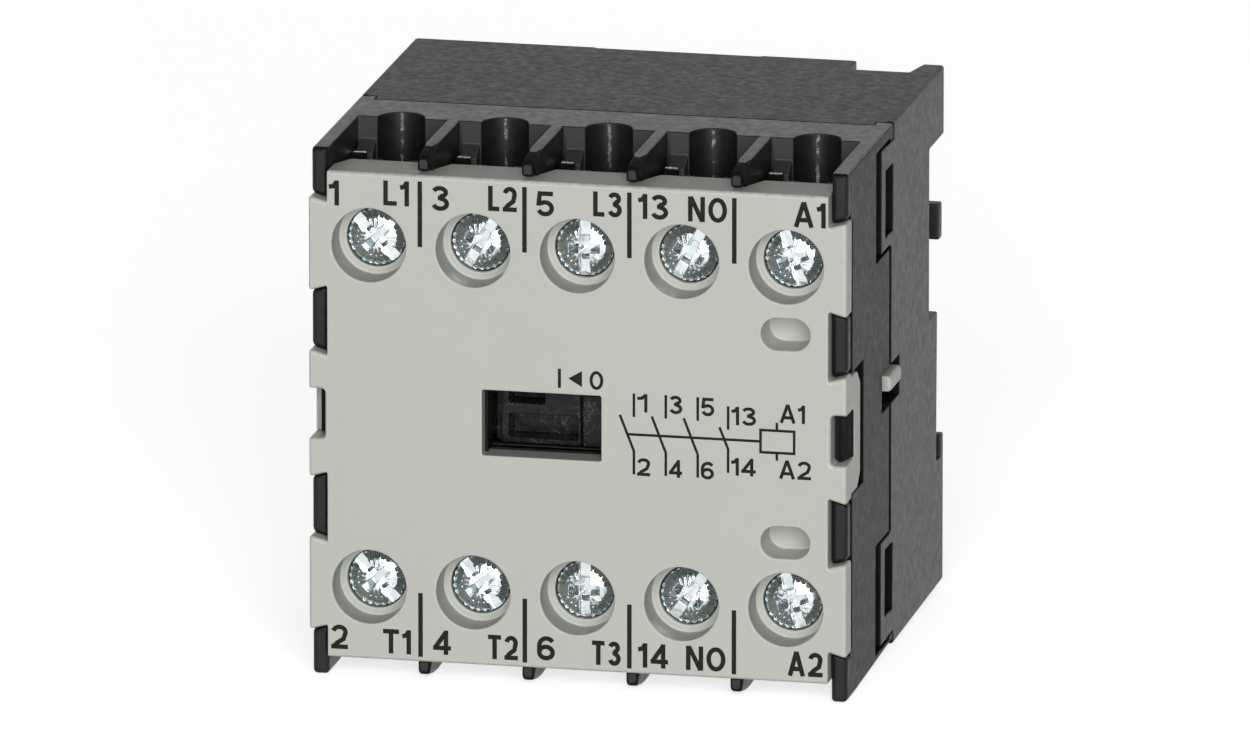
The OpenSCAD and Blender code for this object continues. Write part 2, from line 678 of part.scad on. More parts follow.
module din_latch_spring() color([0.7, 0.7, 0.72]) seated()
  translate([0, latch_spring_y, latch_top + 0.05]) rotate([0, -90, 0])
    spring(latch_spring_top - latch_top - 0.1, 1.0, 0.18, 6);

front_cover();
contact_housing();
rear_base();
contact_carrier();
interlock_slider();
armature();
armature_pin();
magnet_core();
core_pad();
shading_rings();
coil_bobbin();
coil_winding();
return_spring(0);  // return_spring_upper
return_spring(1);  // return_spring_lower
din_latch();
din_latch_spring();
contact_bridge(-2);  // contact_bridge_1
contact_bridge(-1);  // contact_bridge_2
contact_bridge(0);  // contact_bridge_3
contact_bridge(1);  // contact_bridge_4
contact_spring(-2);  // contact_spring_1
contact_spring(-1);  // contact_spring_2
contact_spring(0);  // contact_spring_3
contact_spring(1);  // contact_spring_4
fixed_contact(-2, 0);  // fixed_contact_l1
fixed_contact(-1, 0);  // fixed_contact_l2
fixed_contact(0, 0);  // fixed_contact_l3
fixed_contact(1, 0);  // fixed_contact_13
fixed_contact(-2, 1);  // fixed_contact_t1
fixed_contact(-1, 1);  // fixed_contact_t2
fixed_contact(0, 1);  // fixed_contact_t3
fixed_contact(1, 1);  // fixed_contact_14
coil_terminal(0);  // coil_terminal_a1
coil_terminal(1);  // coil_terminal_a2
clamp_plate(-2, 0);  // clamp_plate_l1
clamp_plate(-1, 0);  // clamp_plate_l2
clamp_plate(0, 0);  // clamp_plate_l3
clamp_plate(1, 0);  // clamp_plate_13
clamp_plate(2, 0);  // clamp_plate_a1
clamp_plate(-2, 1);  // clamp_plate_t1
clamp_plate(-1, 1);  // clamp_plate_t2
clamp_plate(0, 1);  // clamp_plate_t3
clamp_plate(1, 1);  // clamp_plate_14
clamp_plate(2, 1);  // clamp_plate_a2
terminal_screw(-2, 0);  // terminal_screw_l1
terminal_screw(-1, 0);  // terminal_screw_l2
terminal_screw(0, 0);  // terminal_screw_l3
terminal_screw(1, 0);  // terminal_screw_13
terminal_screw(2, 0);  // terminal_screw_a1
terminal_screw(-2, 1);  // terminal_screw_t1
terminal_screw(-1, 1);  // terminal_screw_t2
terminal_screw(0, 1);  // terminal_screw_t3
terminal_screw(1, 1);  // terminal_screw_14
terminal_screw(2, 1);  // terminal_screw_a2
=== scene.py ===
"""Looks of a four-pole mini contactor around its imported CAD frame. Metres, the row frame."""

import json
import math

import bmesh
import bpy
from mathutils import Matrix, Vector
from mathutils.geometry import delaunay_2d_cdt

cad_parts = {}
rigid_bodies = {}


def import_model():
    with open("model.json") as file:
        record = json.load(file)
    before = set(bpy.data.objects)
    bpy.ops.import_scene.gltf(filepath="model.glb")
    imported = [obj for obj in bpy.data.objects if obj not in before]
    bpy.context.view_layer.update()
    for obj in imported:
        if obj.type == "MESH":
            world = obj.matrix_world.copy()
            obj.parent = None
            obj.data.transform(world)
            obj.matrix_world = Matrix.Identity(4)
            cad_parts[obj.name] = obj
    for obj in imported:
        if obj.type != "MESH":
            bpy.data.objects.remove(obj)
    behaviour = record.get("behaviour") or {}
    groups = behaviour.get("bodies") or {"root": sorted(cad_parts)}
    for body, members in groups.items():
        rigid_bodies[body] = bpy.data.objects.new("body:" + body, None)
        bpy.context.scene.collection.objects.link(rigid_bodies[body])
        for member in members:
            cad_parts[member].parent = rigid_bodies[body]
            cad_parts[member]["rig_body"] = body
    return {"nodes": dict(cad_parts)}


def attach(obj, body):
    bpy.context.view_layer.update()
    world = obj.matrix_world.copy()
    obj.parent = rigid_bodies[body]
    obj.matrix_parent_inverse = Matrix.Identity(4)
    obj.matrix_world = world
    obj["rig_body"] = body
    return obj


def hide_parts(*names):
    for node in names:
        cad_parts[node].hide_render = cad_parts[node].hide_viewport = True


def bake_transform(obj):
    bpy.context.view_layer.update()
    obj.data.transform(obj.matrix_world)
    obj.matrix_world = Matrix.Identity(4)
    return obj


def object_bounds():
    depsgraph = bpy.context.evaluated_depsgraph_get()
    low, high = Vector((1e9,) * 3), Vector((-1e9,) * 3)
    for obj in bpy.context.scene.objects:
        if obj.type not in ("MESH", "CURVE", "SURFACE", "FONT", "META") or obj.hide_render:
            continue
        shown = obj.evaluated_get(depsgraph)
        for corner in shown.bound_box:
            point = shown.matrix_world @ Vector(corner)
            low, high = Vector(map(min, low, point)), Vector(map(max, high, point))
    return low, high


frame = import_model()
cad_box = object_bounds()

MM = 0.001
REAR_DEPTH = 39.4               # from the cover's face to the rail seat, the frame's origin
FRONT_Y = -REAR_DEPTH           # row y of the cover face; depths are counted back from it
PITCH = 8.7                     # between the terminal columns
SCREW_Z = 14.4                  # height of the terminal screws above and below the middle
SIDE_X = 22.3                   # just inside the flat sides of the mouldings
WELL_RADIUS = 3.2               # just outside the cover's screw wells
HEAD_FACE = 2.62                # depth of the top of a screw head's dome
CONTACT_DEPTH = 9.2
CONTACT_Z = 5.6                 # height of the contact tips above and below the middle
POLES = {1: -2, 2: -1, 3: 0, 4: 1}     # the column of each contact bridge
KEYS = ["l1", "l2", "l3", "13", "a1", "t1", "t2", "t3", "14", "a2"]
HEAD_ANGLES = [45, 120, 90, 118, 71, 47, 52, 90, 125, 73]


def at(x, depth, z):
    """A point given in millimetres, with its depth behind the cover face."""
    return Vector((x * MM, (FRONT_Y + depth) * MM, z * MM))


def column(key):
    """Column offset and row sign of a terminal."""
    place = KEYS.index(key)
    return (place % 5 - 2) * PITCH, 1 - 2 * (place // 5)


# ------------------------------------------------------------------ materials
class Nodes:
    """A material's node tree with short calls to build it."""

    def __init__(self, name):
        self.material = bpy.data.materials.new(name)
        self.material.use_nodes = True
        self.tree = self.material.node_tree
        self.shader = self.tree.nodes["Principled BSDF"]
        self.coords = self.add("ShaderNodeTexCoord").outputs["Object"]

    def add(self, kind, **settings):
        made = self.tree.nodes.new(kind)
        for key, value in settings.items():
            setattr(made, key, value)
        return made

    def link(self, source, target):
        self.tree.links.new(source, target)

    def set(self, **values):
        for key, value in values.items():
            self.shader.inputs[key.replace("_", " ")].default_value = value

    def noise(self, scale, detail=3.0, roughness=0.5, stretch=None):
        made = self.add("ShaderNodeTexNoise")
        made.inputs["Scale"].default_value = scale
        made.inputs["Detail"].default_value = detail
        made.inputs["Roughness"].default_value = roughness
        source = self.coords
        if stretch:
            mapping = self.add("ShaderNodeMapping")
            mapping.inputs["Scale"].default_value = stretch
            self.link(self.coords, mapping.inputs["Vector"])
            source = mapping.outputs["Vector"]
        self.link(source, made.inputs["Vector"])
        return made.outputs["Fac"]

    def remap(self, value, low, high, to_low, to_high):
        made = self.add("ShaderNodeMapRange")
        for key, number in (("From Min", low), ("From Max", high),
                            ("To Min", to_low), ("To Max", to_high)):
            made.inputs[key].default_value = number
        self.link(value, made.inputs["Value"])
        return made.outputs["Result"]

    def blend(self, factor, first, second, mode="MIX"):
        made = self.add("ShaderNodeMix", data_type="RGBA", blend_type=mode)
        for name, value in (("A", first), ("B", second)):
            socket = [s for s in made.inputs if s.name == name and s.type == "RGBA"][0]
            if isinstance(value, tuple):
                socket.default_value = (*value, 1)
            else:
                self.link(value, socket)
        self.link(factor, made.inputs["Factor"])
        return [s for s in made.outputs if s.type == "RGBA"][0]

    def math(self, operation, first, second=0.0):
        """A sum, product and so on of a socket and another socket or a number."""
        made = self.add("ShaderNodeMath", operation=operation)
        self.link(first, made.inputs[0])
        if isinstance(second, float):
            made.inputs[1].default_value = second
        else:
            self.link(second, made.inputs[1])
        return made.outputs["Value"]

    def edges(self, most=1.0):
        """1 on rounded edges and 0 elsewhere, broken up by a fine noise."""
        mark = self.add("ShaderNodeAttribute", attribute_name="rounding").outputs["Fac"]
        broken = self.remap(self.noise(1300, 4, 0.6), 0.35, 0.6, 0.25 * most, most)
        return self.math("MULTIPLY", mark, broken)

    def bump(self, height, distance, strength=1.0, before=None):
        made = self.add("ShaderNodeBump")
        made.inputs["Distance"].default_value = distance
        made.inputs["Strength"].default_value = strength
        self.link(height, made.inputs["Height"])
        if before:
            self.link(before, made.inputs["Normal"])
        return made.outputs["Normal"]

    def colour(self, socket):
        self.link(socket, self.shader.inputs["Base Color"])

    def roughness(self, socket):
        self.link(socket, self.shader.inputs["Roughness"])

    def patches(self, scale, detail, first, second, high=0.7):
        """Two colours in soft patches."""
        return self.blend(self.remap(self.noise(scale, detail), 0.35, high, 0, 1), first, second)

    def uneven(self, scale, low, high, detail=3.0, roughness=0.5, stretch=None):
        """A roughness that wanders between two values."""
        source = self.noise(scale, detail, roughness, stretch)
        self.roughness(self.remap(source, 0.3, 0.7, low, high))

    def normal(self, socket):
        self.link(socket, self.shader.inputs["Normal"])


def scaled(colour, factor):
    return tuple(min(1.0, c * factor) for c in colour)


def moulded(name, colour, rough, grain=12000.0, grain_depth=6e-6, edge_wear_and_light=1.25, mottling=0.03,
            gloss=0.5):
    """Injection-moulded plastic: eroded grain, faint flow mottling, and roundings scaled by an edge
    factor: rubbed wear with a painted highlight above 1, painted shade below 1.
    """
    n = Nodes(name)
    mottle = n.blend(n.remap(n.noise(420, 5, 0.65), 0.3, 0.7, 0, 1),
                     scaled(colour, 1 - mottling), scaled(colour, 1 + mottling))
    speck = n.blend(n.remap(n.noise(5200, 2), 0.62, 0.8, 0, 0.5),
                    mottle, scaled(colour, 0.8))
    # Roundings take the colour times the edge factor: lighter is rubbed wear plus a painted highlight,
    # darker is painted shade.
    n.colour(n.blend(n.edges(), speck, scaled(colour, edge_wear_and_light)))
    n.set(Specular_IOR_Level=gloss)
    n.uneven(1500, rough - 0.05, rough + 0.07)
    fine = n.bump(n.noise(grain, 2), grain_depth)
    n.normal(n.bump(n.noise(700, 2), 1.2e-5, 0.5, fine))
    return n.material


def pocket_shade_and_groove_highlight(name, colour, rough):
    """Polished plastic darkened as painted shade, with a broken painted highlight down the middle of each
    groove.
    """
    n = Nodes(name)
    place = n.add("ShaderNodeSeparateXYZ")
    n.link(n.coords, place.inputs[0])
    turn = n.math("FRACT", n.math("ADD", n.math("MULTIPLY", place.outputs["X"],
                                                1 / (PITCH * MM)), 0.54))
    off = n.math("ABSOLUTE", n.math("SUBTRACT", turn, 0.5))
    wobble = n.remap(n.noise(2200, 3), 0.3, 0.7, -0.006, 0.012)
    middle = n.remap(n.math("SUBTRACT", off, wobble), 0.003, 0.014, 1, 0)
    back = n.remap(place.outputs["Y"], (FRONT_Y + 13.6) * MM, (FRONT_Y + 13.9) * MM, 0, 1)
    broken = n.remap(n.noise(1150, 4, 0.7), 0.47, 0.66, 0.02, 0.8)
    streak = n.math("MULTIPLY", n.math("MULTIPLY", middle, back), broken)
    mottle = n.patches(900, 4, colour, scaled(colour, 1.5))
    # Painted highlight: a pale broken line down the groove, mixed over the painted shade.
    n.colour(n.blend(streak, mottle, (0.5, 0.5, 0.49)))
    n.uneven(1500, rough - 0.05, rough + 0.07)
    n.normal(n.bump(n.noise(1300, 2), 1.5e-5, 0.6))
    return n.material


def black_with_painted_highlights(name, colour, light, rough):
    """Black polished plastic with fine bright lines drawn like flow lines: painted highlights standing in
    for its wavy reflections.
    """
    n = Nodes(name)
    swirl = n.noise(620, 3, 0.6)
    line = n.remap(n.math("ABSOLUTE", n.math("SUBTRACT", swirl, 0.5)), 0.002, 0.016, 1, 0)
    patch = n.remap(n.noise(420, 3), 0.45, 0.62, 0, 0.75)
    speck = n.patches(3000, 3, colour, scaled(colour, 2.6))
    # Painted highlights: the pale lines mixed over the black.
    n.colour(n.blend(n.math("MULTIPLY", line, patch), speck, light))
    n.set(Specular_IOR_Level=0.2)
    n.uneven(1500, rough - 0.05, rough + 0.1)
    n.normal(n.bump(n.noise(1100, 3), 4e-5, 0.8))
    return n.material


def metal(name, colour, rough, brushed=(1, 1, 1), tint=None):
    """Plated or bare metal with streaks, tarnish and a fine surface."""
    n = Nodes(name)
    n.set(Metallic=1.0)
    tarnish = n.patches(900, 4, colour, tint or scaled(colour, 0.82))
    n.colour(n.blend(n.edges(), tarnish, scaled(colour, 1.12)))
    n.uneven(2600, rough * 0.7, rough * 1.4, 3, 0.6, brushed)
    n.normal(n.bump(n.noise(6000, 3, 0.6, brushed), 8e-7))
    return n.material


def hammered(name, colour, tint):
    """Bright passivated zinc over a cold-headed surface full of small dents."""
    n = Nodes(name)
    n.set(Metallic=1.0)
    n.colour(n.patches(1500, 3, colour, tint, 0.65))
    n.uneven(3000, 0.08, 0.24)
    coarse = n.bump(n.noise(1900, 1), 3.2e-5)
    n.normal(n.bump(n.noise(5200, 2), 7e-6, 1.0, coarse))
    return n.material


def laminated(name):
    """Stamped steel sheets: grey, with a blue-brown oxide and punch marks."""
    n = Nodes(name)
    n.set(Metallic=1.0)
    n.colour(n.patches(420, 5, (0.33, 0.33, 0.34), (0.2, 0.17, 0.15)))
    n.uneven(1800, 0.32, 0.6)
    n.normal(n.bump(n.noise(5200, 3, 0.6, (1, 6, 1)), 2e-6))
    return n.material


def enamelled(name):
    """Enamelled copper wire."""
    n = Nodes(name)
    n.set(Metallic=0.6)
    n.set(Coat_Weight=0.6, Coat_Roughness=0.15)
    n.colour(n.patches(1400, 3, (0.62, 0.22, 0.06), (0.38, 0.12, 0.04)))
    n.uneven(2600, 0.22, 0.4, 2)
    n.normal(n.bump(n.noise(5200, 2), 1.5e-6))
    return n.material


def printed(name, colour):
    """Pad-printed ink: matt, slightly uneven."""
    n = Nodes(name)
    n.colour(n.patches(2400, 3, colour, scaled(colour, 1.6)))
    n.set(Specular_IOR_Level=0.15)
    n.uneven(1800, 0.5, 0.65)
    n.normal(n.bump(n.noise(9000, 2), 2e-6))
    return n.material


LOOKS = {
    "cover_plastic": moulded("moulded_warm_grey", (0.535, 0.54, 0.495), 0.42, edge_wear_and_light=1.1, mottling=0.012),
    "housing_plastic": moulded("moulded_dark_grey", (0.018, 0.018, 0.0185), 0.46, 9000.0, 1.2e-5, 1.9,
                               gloss=0.34),
    "fine_plastic": moulded("moulded_dark_fine", (0.012, 0.012, 0.0125), 0.56, 9000.0, 8e-6, 2.2,
                            gloss=0.28),
    # Top faces: a smoother surface, and a lighter tone that is painted light falling on the top.
    "smooth_top_painted_light": moulded("moulded_dark_smooth_painted_light", (0.022, 0.022, 0.0225), 0.38, 9000.0, 5e-6, 1.9),
    # Painted highlight: rounded edges five times lighter than the black.
    "carrier_plastic": moulded("moulded_black", (0.006, 0.006, 0.0065), 0.2, edge_wear_and_light=5.0, gloss=0.12),
    "slider_plastic": moulded("moulded_light_grey", (0.52, 0.52, 0.5), 0.4, edge_wear_and_light=1.1),
    "bobbin_plastic": moulded("moulded_cream", (0.62, 0.58, 0.46), 0.38, edge_wear_and_light=1.1),
    "zinc_screw": hammered("zinc_passivated", (0.78, 0.8, 0.8), (0.58, 0.66, 0.68)),
    "zinc_plate": metal("zinc_plate", (0.72, 0.74, 0.76), 0.3, (1, 1, 5)),
    "spring_steel": metal("spring_steel", (0.55, 0.55, 0.57), 0.22),
    "lamination_steel": laminated("lamination_steel"),
    "contact_copper": metal("contact_copper", (0.78, 0.5, 0.3), 0.26, (1, 1, 6), tint=(0.5, 0.3, 0.2)),
    "copper_wire": enamelled("enamelled_wire"),
    "pad_rubber": moulded("pad_rubber", (0.02, 0.02, 0.02), 0.7, edge_wear_and_light=1.3),
    # Pockets: painted shade, with a painted highlight in each groove.
    "pocket_painted_shade": pocket_shade_and_groove_highlight("moulded_pocket_painted_shade_and_highlight", (0.009, 0.009, 0.0095), 0.42),
    # Painted shade: a darker tone for the front tabs, with roundings darkened to a quarter.
    "tab_painted_shade": moulded("moulded_tab_painted_shade", (0.0105, 0.0105, 0.011), 0.5, 9000.0, 8e-6, 0.25, gloss=0.28),
    # Painted shade on the rib noses' rounded edges.
    "nose_painted_edge_shade": moulded("moulded_nose_painted_edge_shade", (0.019, 0.019, 0.0195), 0.46, 9000.0, 8e-6, 0.4, gloss=0.34),
    # Painted shade: near-black for gaps, slots, recesses and shaded rib faces.
    "recess_painted_shade": moulded("moulded_recess_painted_shade", (0.006, 0.006, 0.006), 0.6, edge_wear_and_light=1.0, gloss=0.08),
    # Painted shade: a darker copy of the cover plastic for its top and bottom faces and well walls.
    "cover_painted_shade": moulded("moulded_warm_grey_painted_shade", (0.375, 0.38, 0.35), 0.46, edge_wear_and_light=1.6, mottling=0.02),
    # Painted shade: a darker copy still, for the window's reveal.
    "cover_reveal_painted_shade": moulded("moulded_warm_grey_reveal_painted_shade", (0.34, 0.34, 0.33), 0.5, edge_wear_and_light=1.2),
    "tinned_brass": metal("tinned_brass", (0.8, 0.79, 0.75), 0.28, (1, 1, 6)),
    # Painted light: a lighter copy of the housing plastic for the lit wire guides.
    "guide_painted_light": moulded("moulded_guide_painted_light", (0.034, 0.034, 0.035), 0.5, edge_wear_and_light=1.6),
    "silver_tip": metal("silver_tip", (0.86, 0.85, 0.82), 0.3),
}
INK = printed("print_ink", (0.009, 0.0085, 0.008))
SLOT_OF = {name: made.data.materials[0].name for name, made in frame["nodes"].items()}


# ------------------------------------------------------------------ mesh helpers
def body_of(node):
    """The body that carries a CAD node."""
    return frame["nodes"][node]["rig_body"]


def make_object(name, mesh, slot):
    """A piece with a mesh and the material of a slot."""
    made = bpy.data.objects.new(name, mesh)
    bpy.context.scene.collection.objects.link(made)
    mesh.materials.clear()
    mesh.materials.append(LOOKS[slot])
    return made


def settle(made):
    """Applies a piece's modifiers to its mesh."""
    graph = bpy.context.evaluated_depsgraph_get()
    mesh = bpy.data.meshes.new_from_object(made.evaluated_get(graph))
    made.modifiers.clear()
    made.data = mesh


def mend_face(work, face):
    """Cuts one large flat face into triangles that keep to its outline and holes."""
    normal = face.normal.copy()
    centre = face.calc_center_median()
    across = normal.orthogonal().normalized()
    along = normal.cross(across)
    corners = list(face.verts)
    flat = [((v.co - centre).dot(across), (v.co - centre).dot(along)) for v in corners]
    flat = [Vector(p) / MM for p in flat]
    points, _, triangles, origin, _, _ = delaunay_2d_cdt(
        flat, [], [list(range(len(flat)))], 1, 1e-5)
    verts = []
    for place, source in zip(points, origin):
        if source:
            verts.append(corners[source[0]])
        else:
            spot = centre + (across * place[0] + along * place[1]) * MM
            verts.append(work.verts.new(spot))
    look = face.material_index
    work.faces.remove(face)
    for triangle in triangles:
        picked = [verts[i] for i in triangle]
        if len(set(picked)) == 3 and not work.faces.get(picked):
            made = work.faces.new(picked)
            made.normal_update()
            if made.normal.dot(normal) < 0:
                made.normal_flip()
            made.material_index = look


def mend(mesh):
    """Cuts up the large many-sided faces, which would not shade flat otherwise."""
    work = bmesh.new()
    work.from_mesh(mesh)
    work.normal_update()
    for face in [f for f in work.faces if len(f.verts) > 6]:
        mend_face(work, face)
    work.to_mesh(mesh)
    work.free()


def shade(mesh):
    """Flat faces stay flat, and the roundings, in the second slot, run smoothly into them."""
    faces = mesh.polygons
    around = [[] for _ in mesh.vertices]
    for face in faces:
        for corner in face.vertices:
            around[corner].append(face.index)
    plain = [face.material_index == 0 for face in faces]
    normals = [None] * len(mesh.loops)
    for face in faces:
        least = 0.87 if plain[face.index] else 0.6
        for loop, corner in zip(face.loop_indices, face.vertices):
            near = [i for i in around[corner] if faces[i].normal.dot(face.normal) > least]
            near = [i for i in near if plain[i]] or near
            total = sum((faces[i].normal * faces[i].area for i in near), Vector())
            normals[loop] = total.normalized() if total.length > 0 else face.normal
    mesh.shade_smooth()
    mark = mesh.attributes.new("rounding", "FLOAT", "CORNER")
    for face in faces:
        for loop in face.loop_indices:
            mark.data[loop].value = 0.0 if plain[face.index] else 1.0
        face.material_index = 0
    if len(mesh.materials) > 1:
        mesh.materials.pop()
    mesh.normals_split_custom_set(normals)


def face_turn(edge):
    """The angle between an edge's two faces, in radians."""
    return edge.calc_face_angle(0.0) if len(edge.link_faces) == 2 else 0.0


def weigh_edges(mesh, width_at, widest, angle):
    """Gives each sharp edge the share of the widest rounding that it gets."""
    work = bmesh.new()
    work.from_mesh(mesh)
    weight = work.edges.layers.float.new("bevel_weight_edge")
    for edge in work.edges:
        if face_turn(edge) > math.radians(angle):
            middle = (edge.verts[0].co + edge.verts[1].co) / 2 / MM
            width = width_at(middle.x, middle.y - FRONT_Y, middle.z)
            edge[weight] = width / widest
    work.to_mesh(mesh)
    work.free()


def round_edges(made, width, segments=2, angle=28):
    """Rounds sharp edges. width is in millimetres, or a function of x, depth and z."""
    steady = not callable(width)
    widest = width if steady else 0.5
    weigh_edges(made.data, (lambda x, depth, z: width) if steady else width, widest, angle)
    bevel = made.modifiers.new("edges", "BEVEL")
    bevel.width = widest * MM
    bevel.segments = segments
    bevel.limit_method = "WEIGHT"
    bevel.use_clamp_overlap = False
    bevel.miter_outer = "MITER_ARC"
    made.data.materials.append(made.data.materials[0])
    bevel.material = 1
    settle(made)
    mend(made.data)
    shade(made.data)


def clean_copy(node):
    """The node's mesh, welded, with its flat faces made whole."""
    work = bmesh.new()
    work.from_mesh(frame["nodes"][node].data)
    bmesh.ops.remove_doubles(work, verts=work.verts, dist=2e-6)
    bmesh.ops.dissolve_limit(work, angle_limit=math.radians(0.8), verts=work.verts,
                             edges=work.edges, use_dissolve_boundaries=False)
    mesh = bpy.data.meshes.new(node + "_detailed")
    work.to_mesh(mesh)
    work.free()
    for layer in ("custom_normal", "sharp_face"):
        if layer in mesh.attributes:
            mesh.attributes.remove(mesh.attributes[layer])
    return mesh


def soften(node, width, segments=2, cuts=()):
    """A copy of a CAD node with rounded edges, and any cuts, which stands for it."""
    made = make_object(node + "_detailed", clean_copy(node), SLOT_OF[node])
    if cuts:
        carve(made, cuts)
    round_edges(made, width, segments)
    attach(made, body_of(node))
    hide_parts(node)
    return made


# ------------------------------------------------------------------ solids in code
def block_corners(x, depth, z):
    """The corners of a block given by its lowest and highest x, depth and z."""
    return [(i, j, k) for i in x for j in depth for k in z]


def add_block(work, corners):
    """A closed six-sided solid from eight corners, in the order of block_corners."""
    spots = [work.verts.new(at(*corner)) for corner in corners]
    faces = [work.faces.new([spots[i] for i in ring]) for ring in
             ((0, 1, 3, 2), (4, 6, 7, 5), (0, 4, 5, 1), (2, 3, 7, 6), (0, 2, 6, 4), (1, 5, 7, 3))]
    bmesh.ops.recalc_face_normals(work, faces=faces)


def finished(work, name):
    """The mesh of a finished bmesh, with its faces turned outwards."""
    mesh = bpy.data.meshes.new(name)
    bmesh.ops.recalc_face_normals(work, faces=work.faces)
    work.to_mesh(mesh)
    work.free()
    return mesh


def cut_away(made, cutter_mesh):
    """Takes a closed mesh out of a piece."""
    cutter = bpy.data.objects.new("cutter", cutter_mesh)
    bpy.context.scene.collection.objects.link(cutter)
    cut = made.modifiers.new("cut", "BOOLEAN")
    cut.operation = "DIFFERENCE"
    cut.solver = "EXACT"
    cut.object = cutter
    settle(made)
    bpy.data.objects.remove(cutter)


def carve(made, blocks):
    """Takes separate blocks, each an x, depth and z range, out of a piece."""
    work = bmesh.new()
    for ranges in blocks:
        add_block(work, block_corners(*ranges))
    cut_away(made, finished(work, "cutter"))


def lathe(work, profile, segments):
    """A closed solid turned about the Y axis: (radius, depth) pairs from axis to axis."""
    rings = []
    for radius, depth in profile:
        if radius == 0:
            rings.append([work.verts.new(at(0, depth, 0))] * segments)
            continue
        turn = [2 * math.pi * i / segments for i in range(segments)]
        rings.append([work.verts.new(at(radius * math.cos(a), depth, radius * math.sin(a)))
                      for a in turn])
    for low, high in zip(rings, rings[1:]):
        for i in range(segments):
            j = (i + 1) % segments
            corners = dict.fromkeys((low[i], low[j], high[j], high[i]))
            work.faces.new(list(corners))


def tube(work, path, radius, sides, forward):
    """A closed tube along a path in metres; forward is a direction it never runs along."""
    rings = []
    for i, spot in enumerate(path):
        along = (path[min(i + 1, len(path) - 1)] - path[max(i - 1, 0)]).normalized()
        across = along.cross(forward).normalized()
        over = across.cross(along)
        turn = [2 * math.pi * k / sides for k in range(sides)]
        rings.append([work.verts.new(spot + (across * math.cos(a) + over * math.sin(a)) * radius)
                      for a in turn])
    for low, high in zip(rings, rings[1:]):
        for i in range(sides):
            j = (i + 1) % sides
            work.faces.new((low[i], low[j], high[j], high[i]))
    work.faces.new(rings[0])
    work.faces.new(rings[-1])


# ------------------------------------------------------------------ mouldings
def front_rounding(x, depth, z):
    """The cover's outer front edges are rounder than the rest."""
    outside = abs(z) > 20.3 or abs(x) > 20.9
    return 0.32 if outside and depth < 1.2 else 0.14


def on_rib(x):
    """Whether an x lies on one of the four ribs between the columns."""
    return abs(x / PITCH % 1 - 0.5) < 0.075 and abs(x) < 16


def housing_rounding(x, depth, z):
    """The noses of the ribs and the tabs beside the cover are the roundest."""
    if on_rib(x) and depth < 3.5 and abs(z) > 21.3:
        return 0.4
    if depth < 1.9:
        return 0.45 if abs(x) > 20.8 else 0.25
    if abs(x) > 22.2 and abs(z) > 21.4 and depth < 17.5:
        return 0.28
    return 0.1


def base_rounding(x, depth, z):
    """The long outer edges are the roundest."""
    if abs(x) > 22.2 and abs(z) > 21.3:
        return 0.26
    return 0.18 if depth < 18.2 else 0.14


def slider_rounding(x, depth, z):
    """The tab outside the housing is well rounded."""
    return 0.4 if x > 22.4 else 0.12


def in_pocket(x, depth, z):
    """Whether a point lies in a wire pocket."""
    return 2.3 < depth < 14.2 and 10.3 < abs(z) < 21.9 and abs(x) < 21.2


def from_column(x):
    """How far an x is from the middle of its terminal column."""
    return (x + 2.5 * PITCH) % PITCH - PITCH / 2


def on_guide(x, depth):
    """Whether a point lies on one of the wire guides beside a groove."""
    return 10.7 < depth < 12.25 and 2.05 < abs(from_column(x)) < 3.6


def in_gap(x, depth, z):
    """Inside a snap seat, a groove along the cover or the seam, or the slider's slot."""
    by_tongue = depth < 7.5 and abs(z) < 5.3 and 21.4 < abs(x) < SIDE_X
    by_base = depth > 12.1 and 11.8 < abs(z) < 21.3 and 21.1 < abs(x) < SIDE_X
    by_groove = 21.6 < abs(x) < SIDE_X and (1.9 < depth < 2.95 or 17.3 < depth < 18.5)
    by_slot = 19.9 < x < SIDE_X and 14.5 < depth < 21.7 and -1.4 < z < 2.1
    return by_tongue or by_base or by_groove or by_slot


def place_of(face):
    """A face's x, depth and z in millimetres."""
    centre = face.center / MM
    return centre.x, centre.y - FRONT_Y, centre.z


def housing_finish(face):
    """Which of the housing's finishes a face gets, by where it lies. Painted shade darkens the pockets,
    gaps, front tabs and rib noses, a painted highlight runs down each groove, and the wire guides and top
    faces get a lighter tone as painted light.
    """
    x, depth, z = place_of(face)
    if in_pocket(x, depth, z):
        return "guide_painted_light" if on_guide(x, depth) else "pocket_painted_shade"
    if in_gap(x, depth, z):
        return "recess_painted_shade"
    if abs(x) > 20.9 and depth < 2.05:
        return "tab_painted_shade"
    if on_rib(x) and depth < 3.4 and abs(z) > 20.5:
        return "nose_painted_edge_shade" if face.normal.y < -0.95 else "recess_painted_shade"
    on_top = abs(z) > 21.4 and abs(face.normal.z) > 0.7 and depth > 3.6
    return "smooth_top_painted_light" if on_top else "fine_plastic"


def base_finish(face):
    """Painted shade: the rear base is darker inside its snap windows, beside the corner keys and in its
    gaps.
    """
    x, depth, z = place_of(face)
    by_window = 15.8 < depth < 19 and 13.1 < abs(z) < 18.9 and abs(x) < SIDE_X
    by_key = depth < 19.4 and abs(z) > 20.7 and 21.6 < abs(x) < SIDE_X
    dark = by_window or by_key or in_gap(x, depth, z)
    return "recess_painted_shade" if dark else "housing_plastic"


def cover_finish(face):
    """Painted shade: top and bottom faces and well walls get a darker, slightly matter copy of the cover
    plastic, and the window's reveal a darker one still.
    """
    x, depth, z = place_of(face)
    across = abs(face.normal.y) < 0.5
    if abs(z) > 20.2 and abs(face.normal.z) > 0.7:
        return "cover_painted_shade"
    if across and -8 < x < 2.1 and abs(z) < 2.85 and depth > 0.15:
        return "cover_reveal_painted_shade"
    reach = math.hypot(from_column(x), abs(z) - SCREW_Z)
    in_well = across and 0.15 < depth < 3.5 and reach < WELL_RADIUS
    return "cover_painted_shade" if in_well else "cover_plastic"


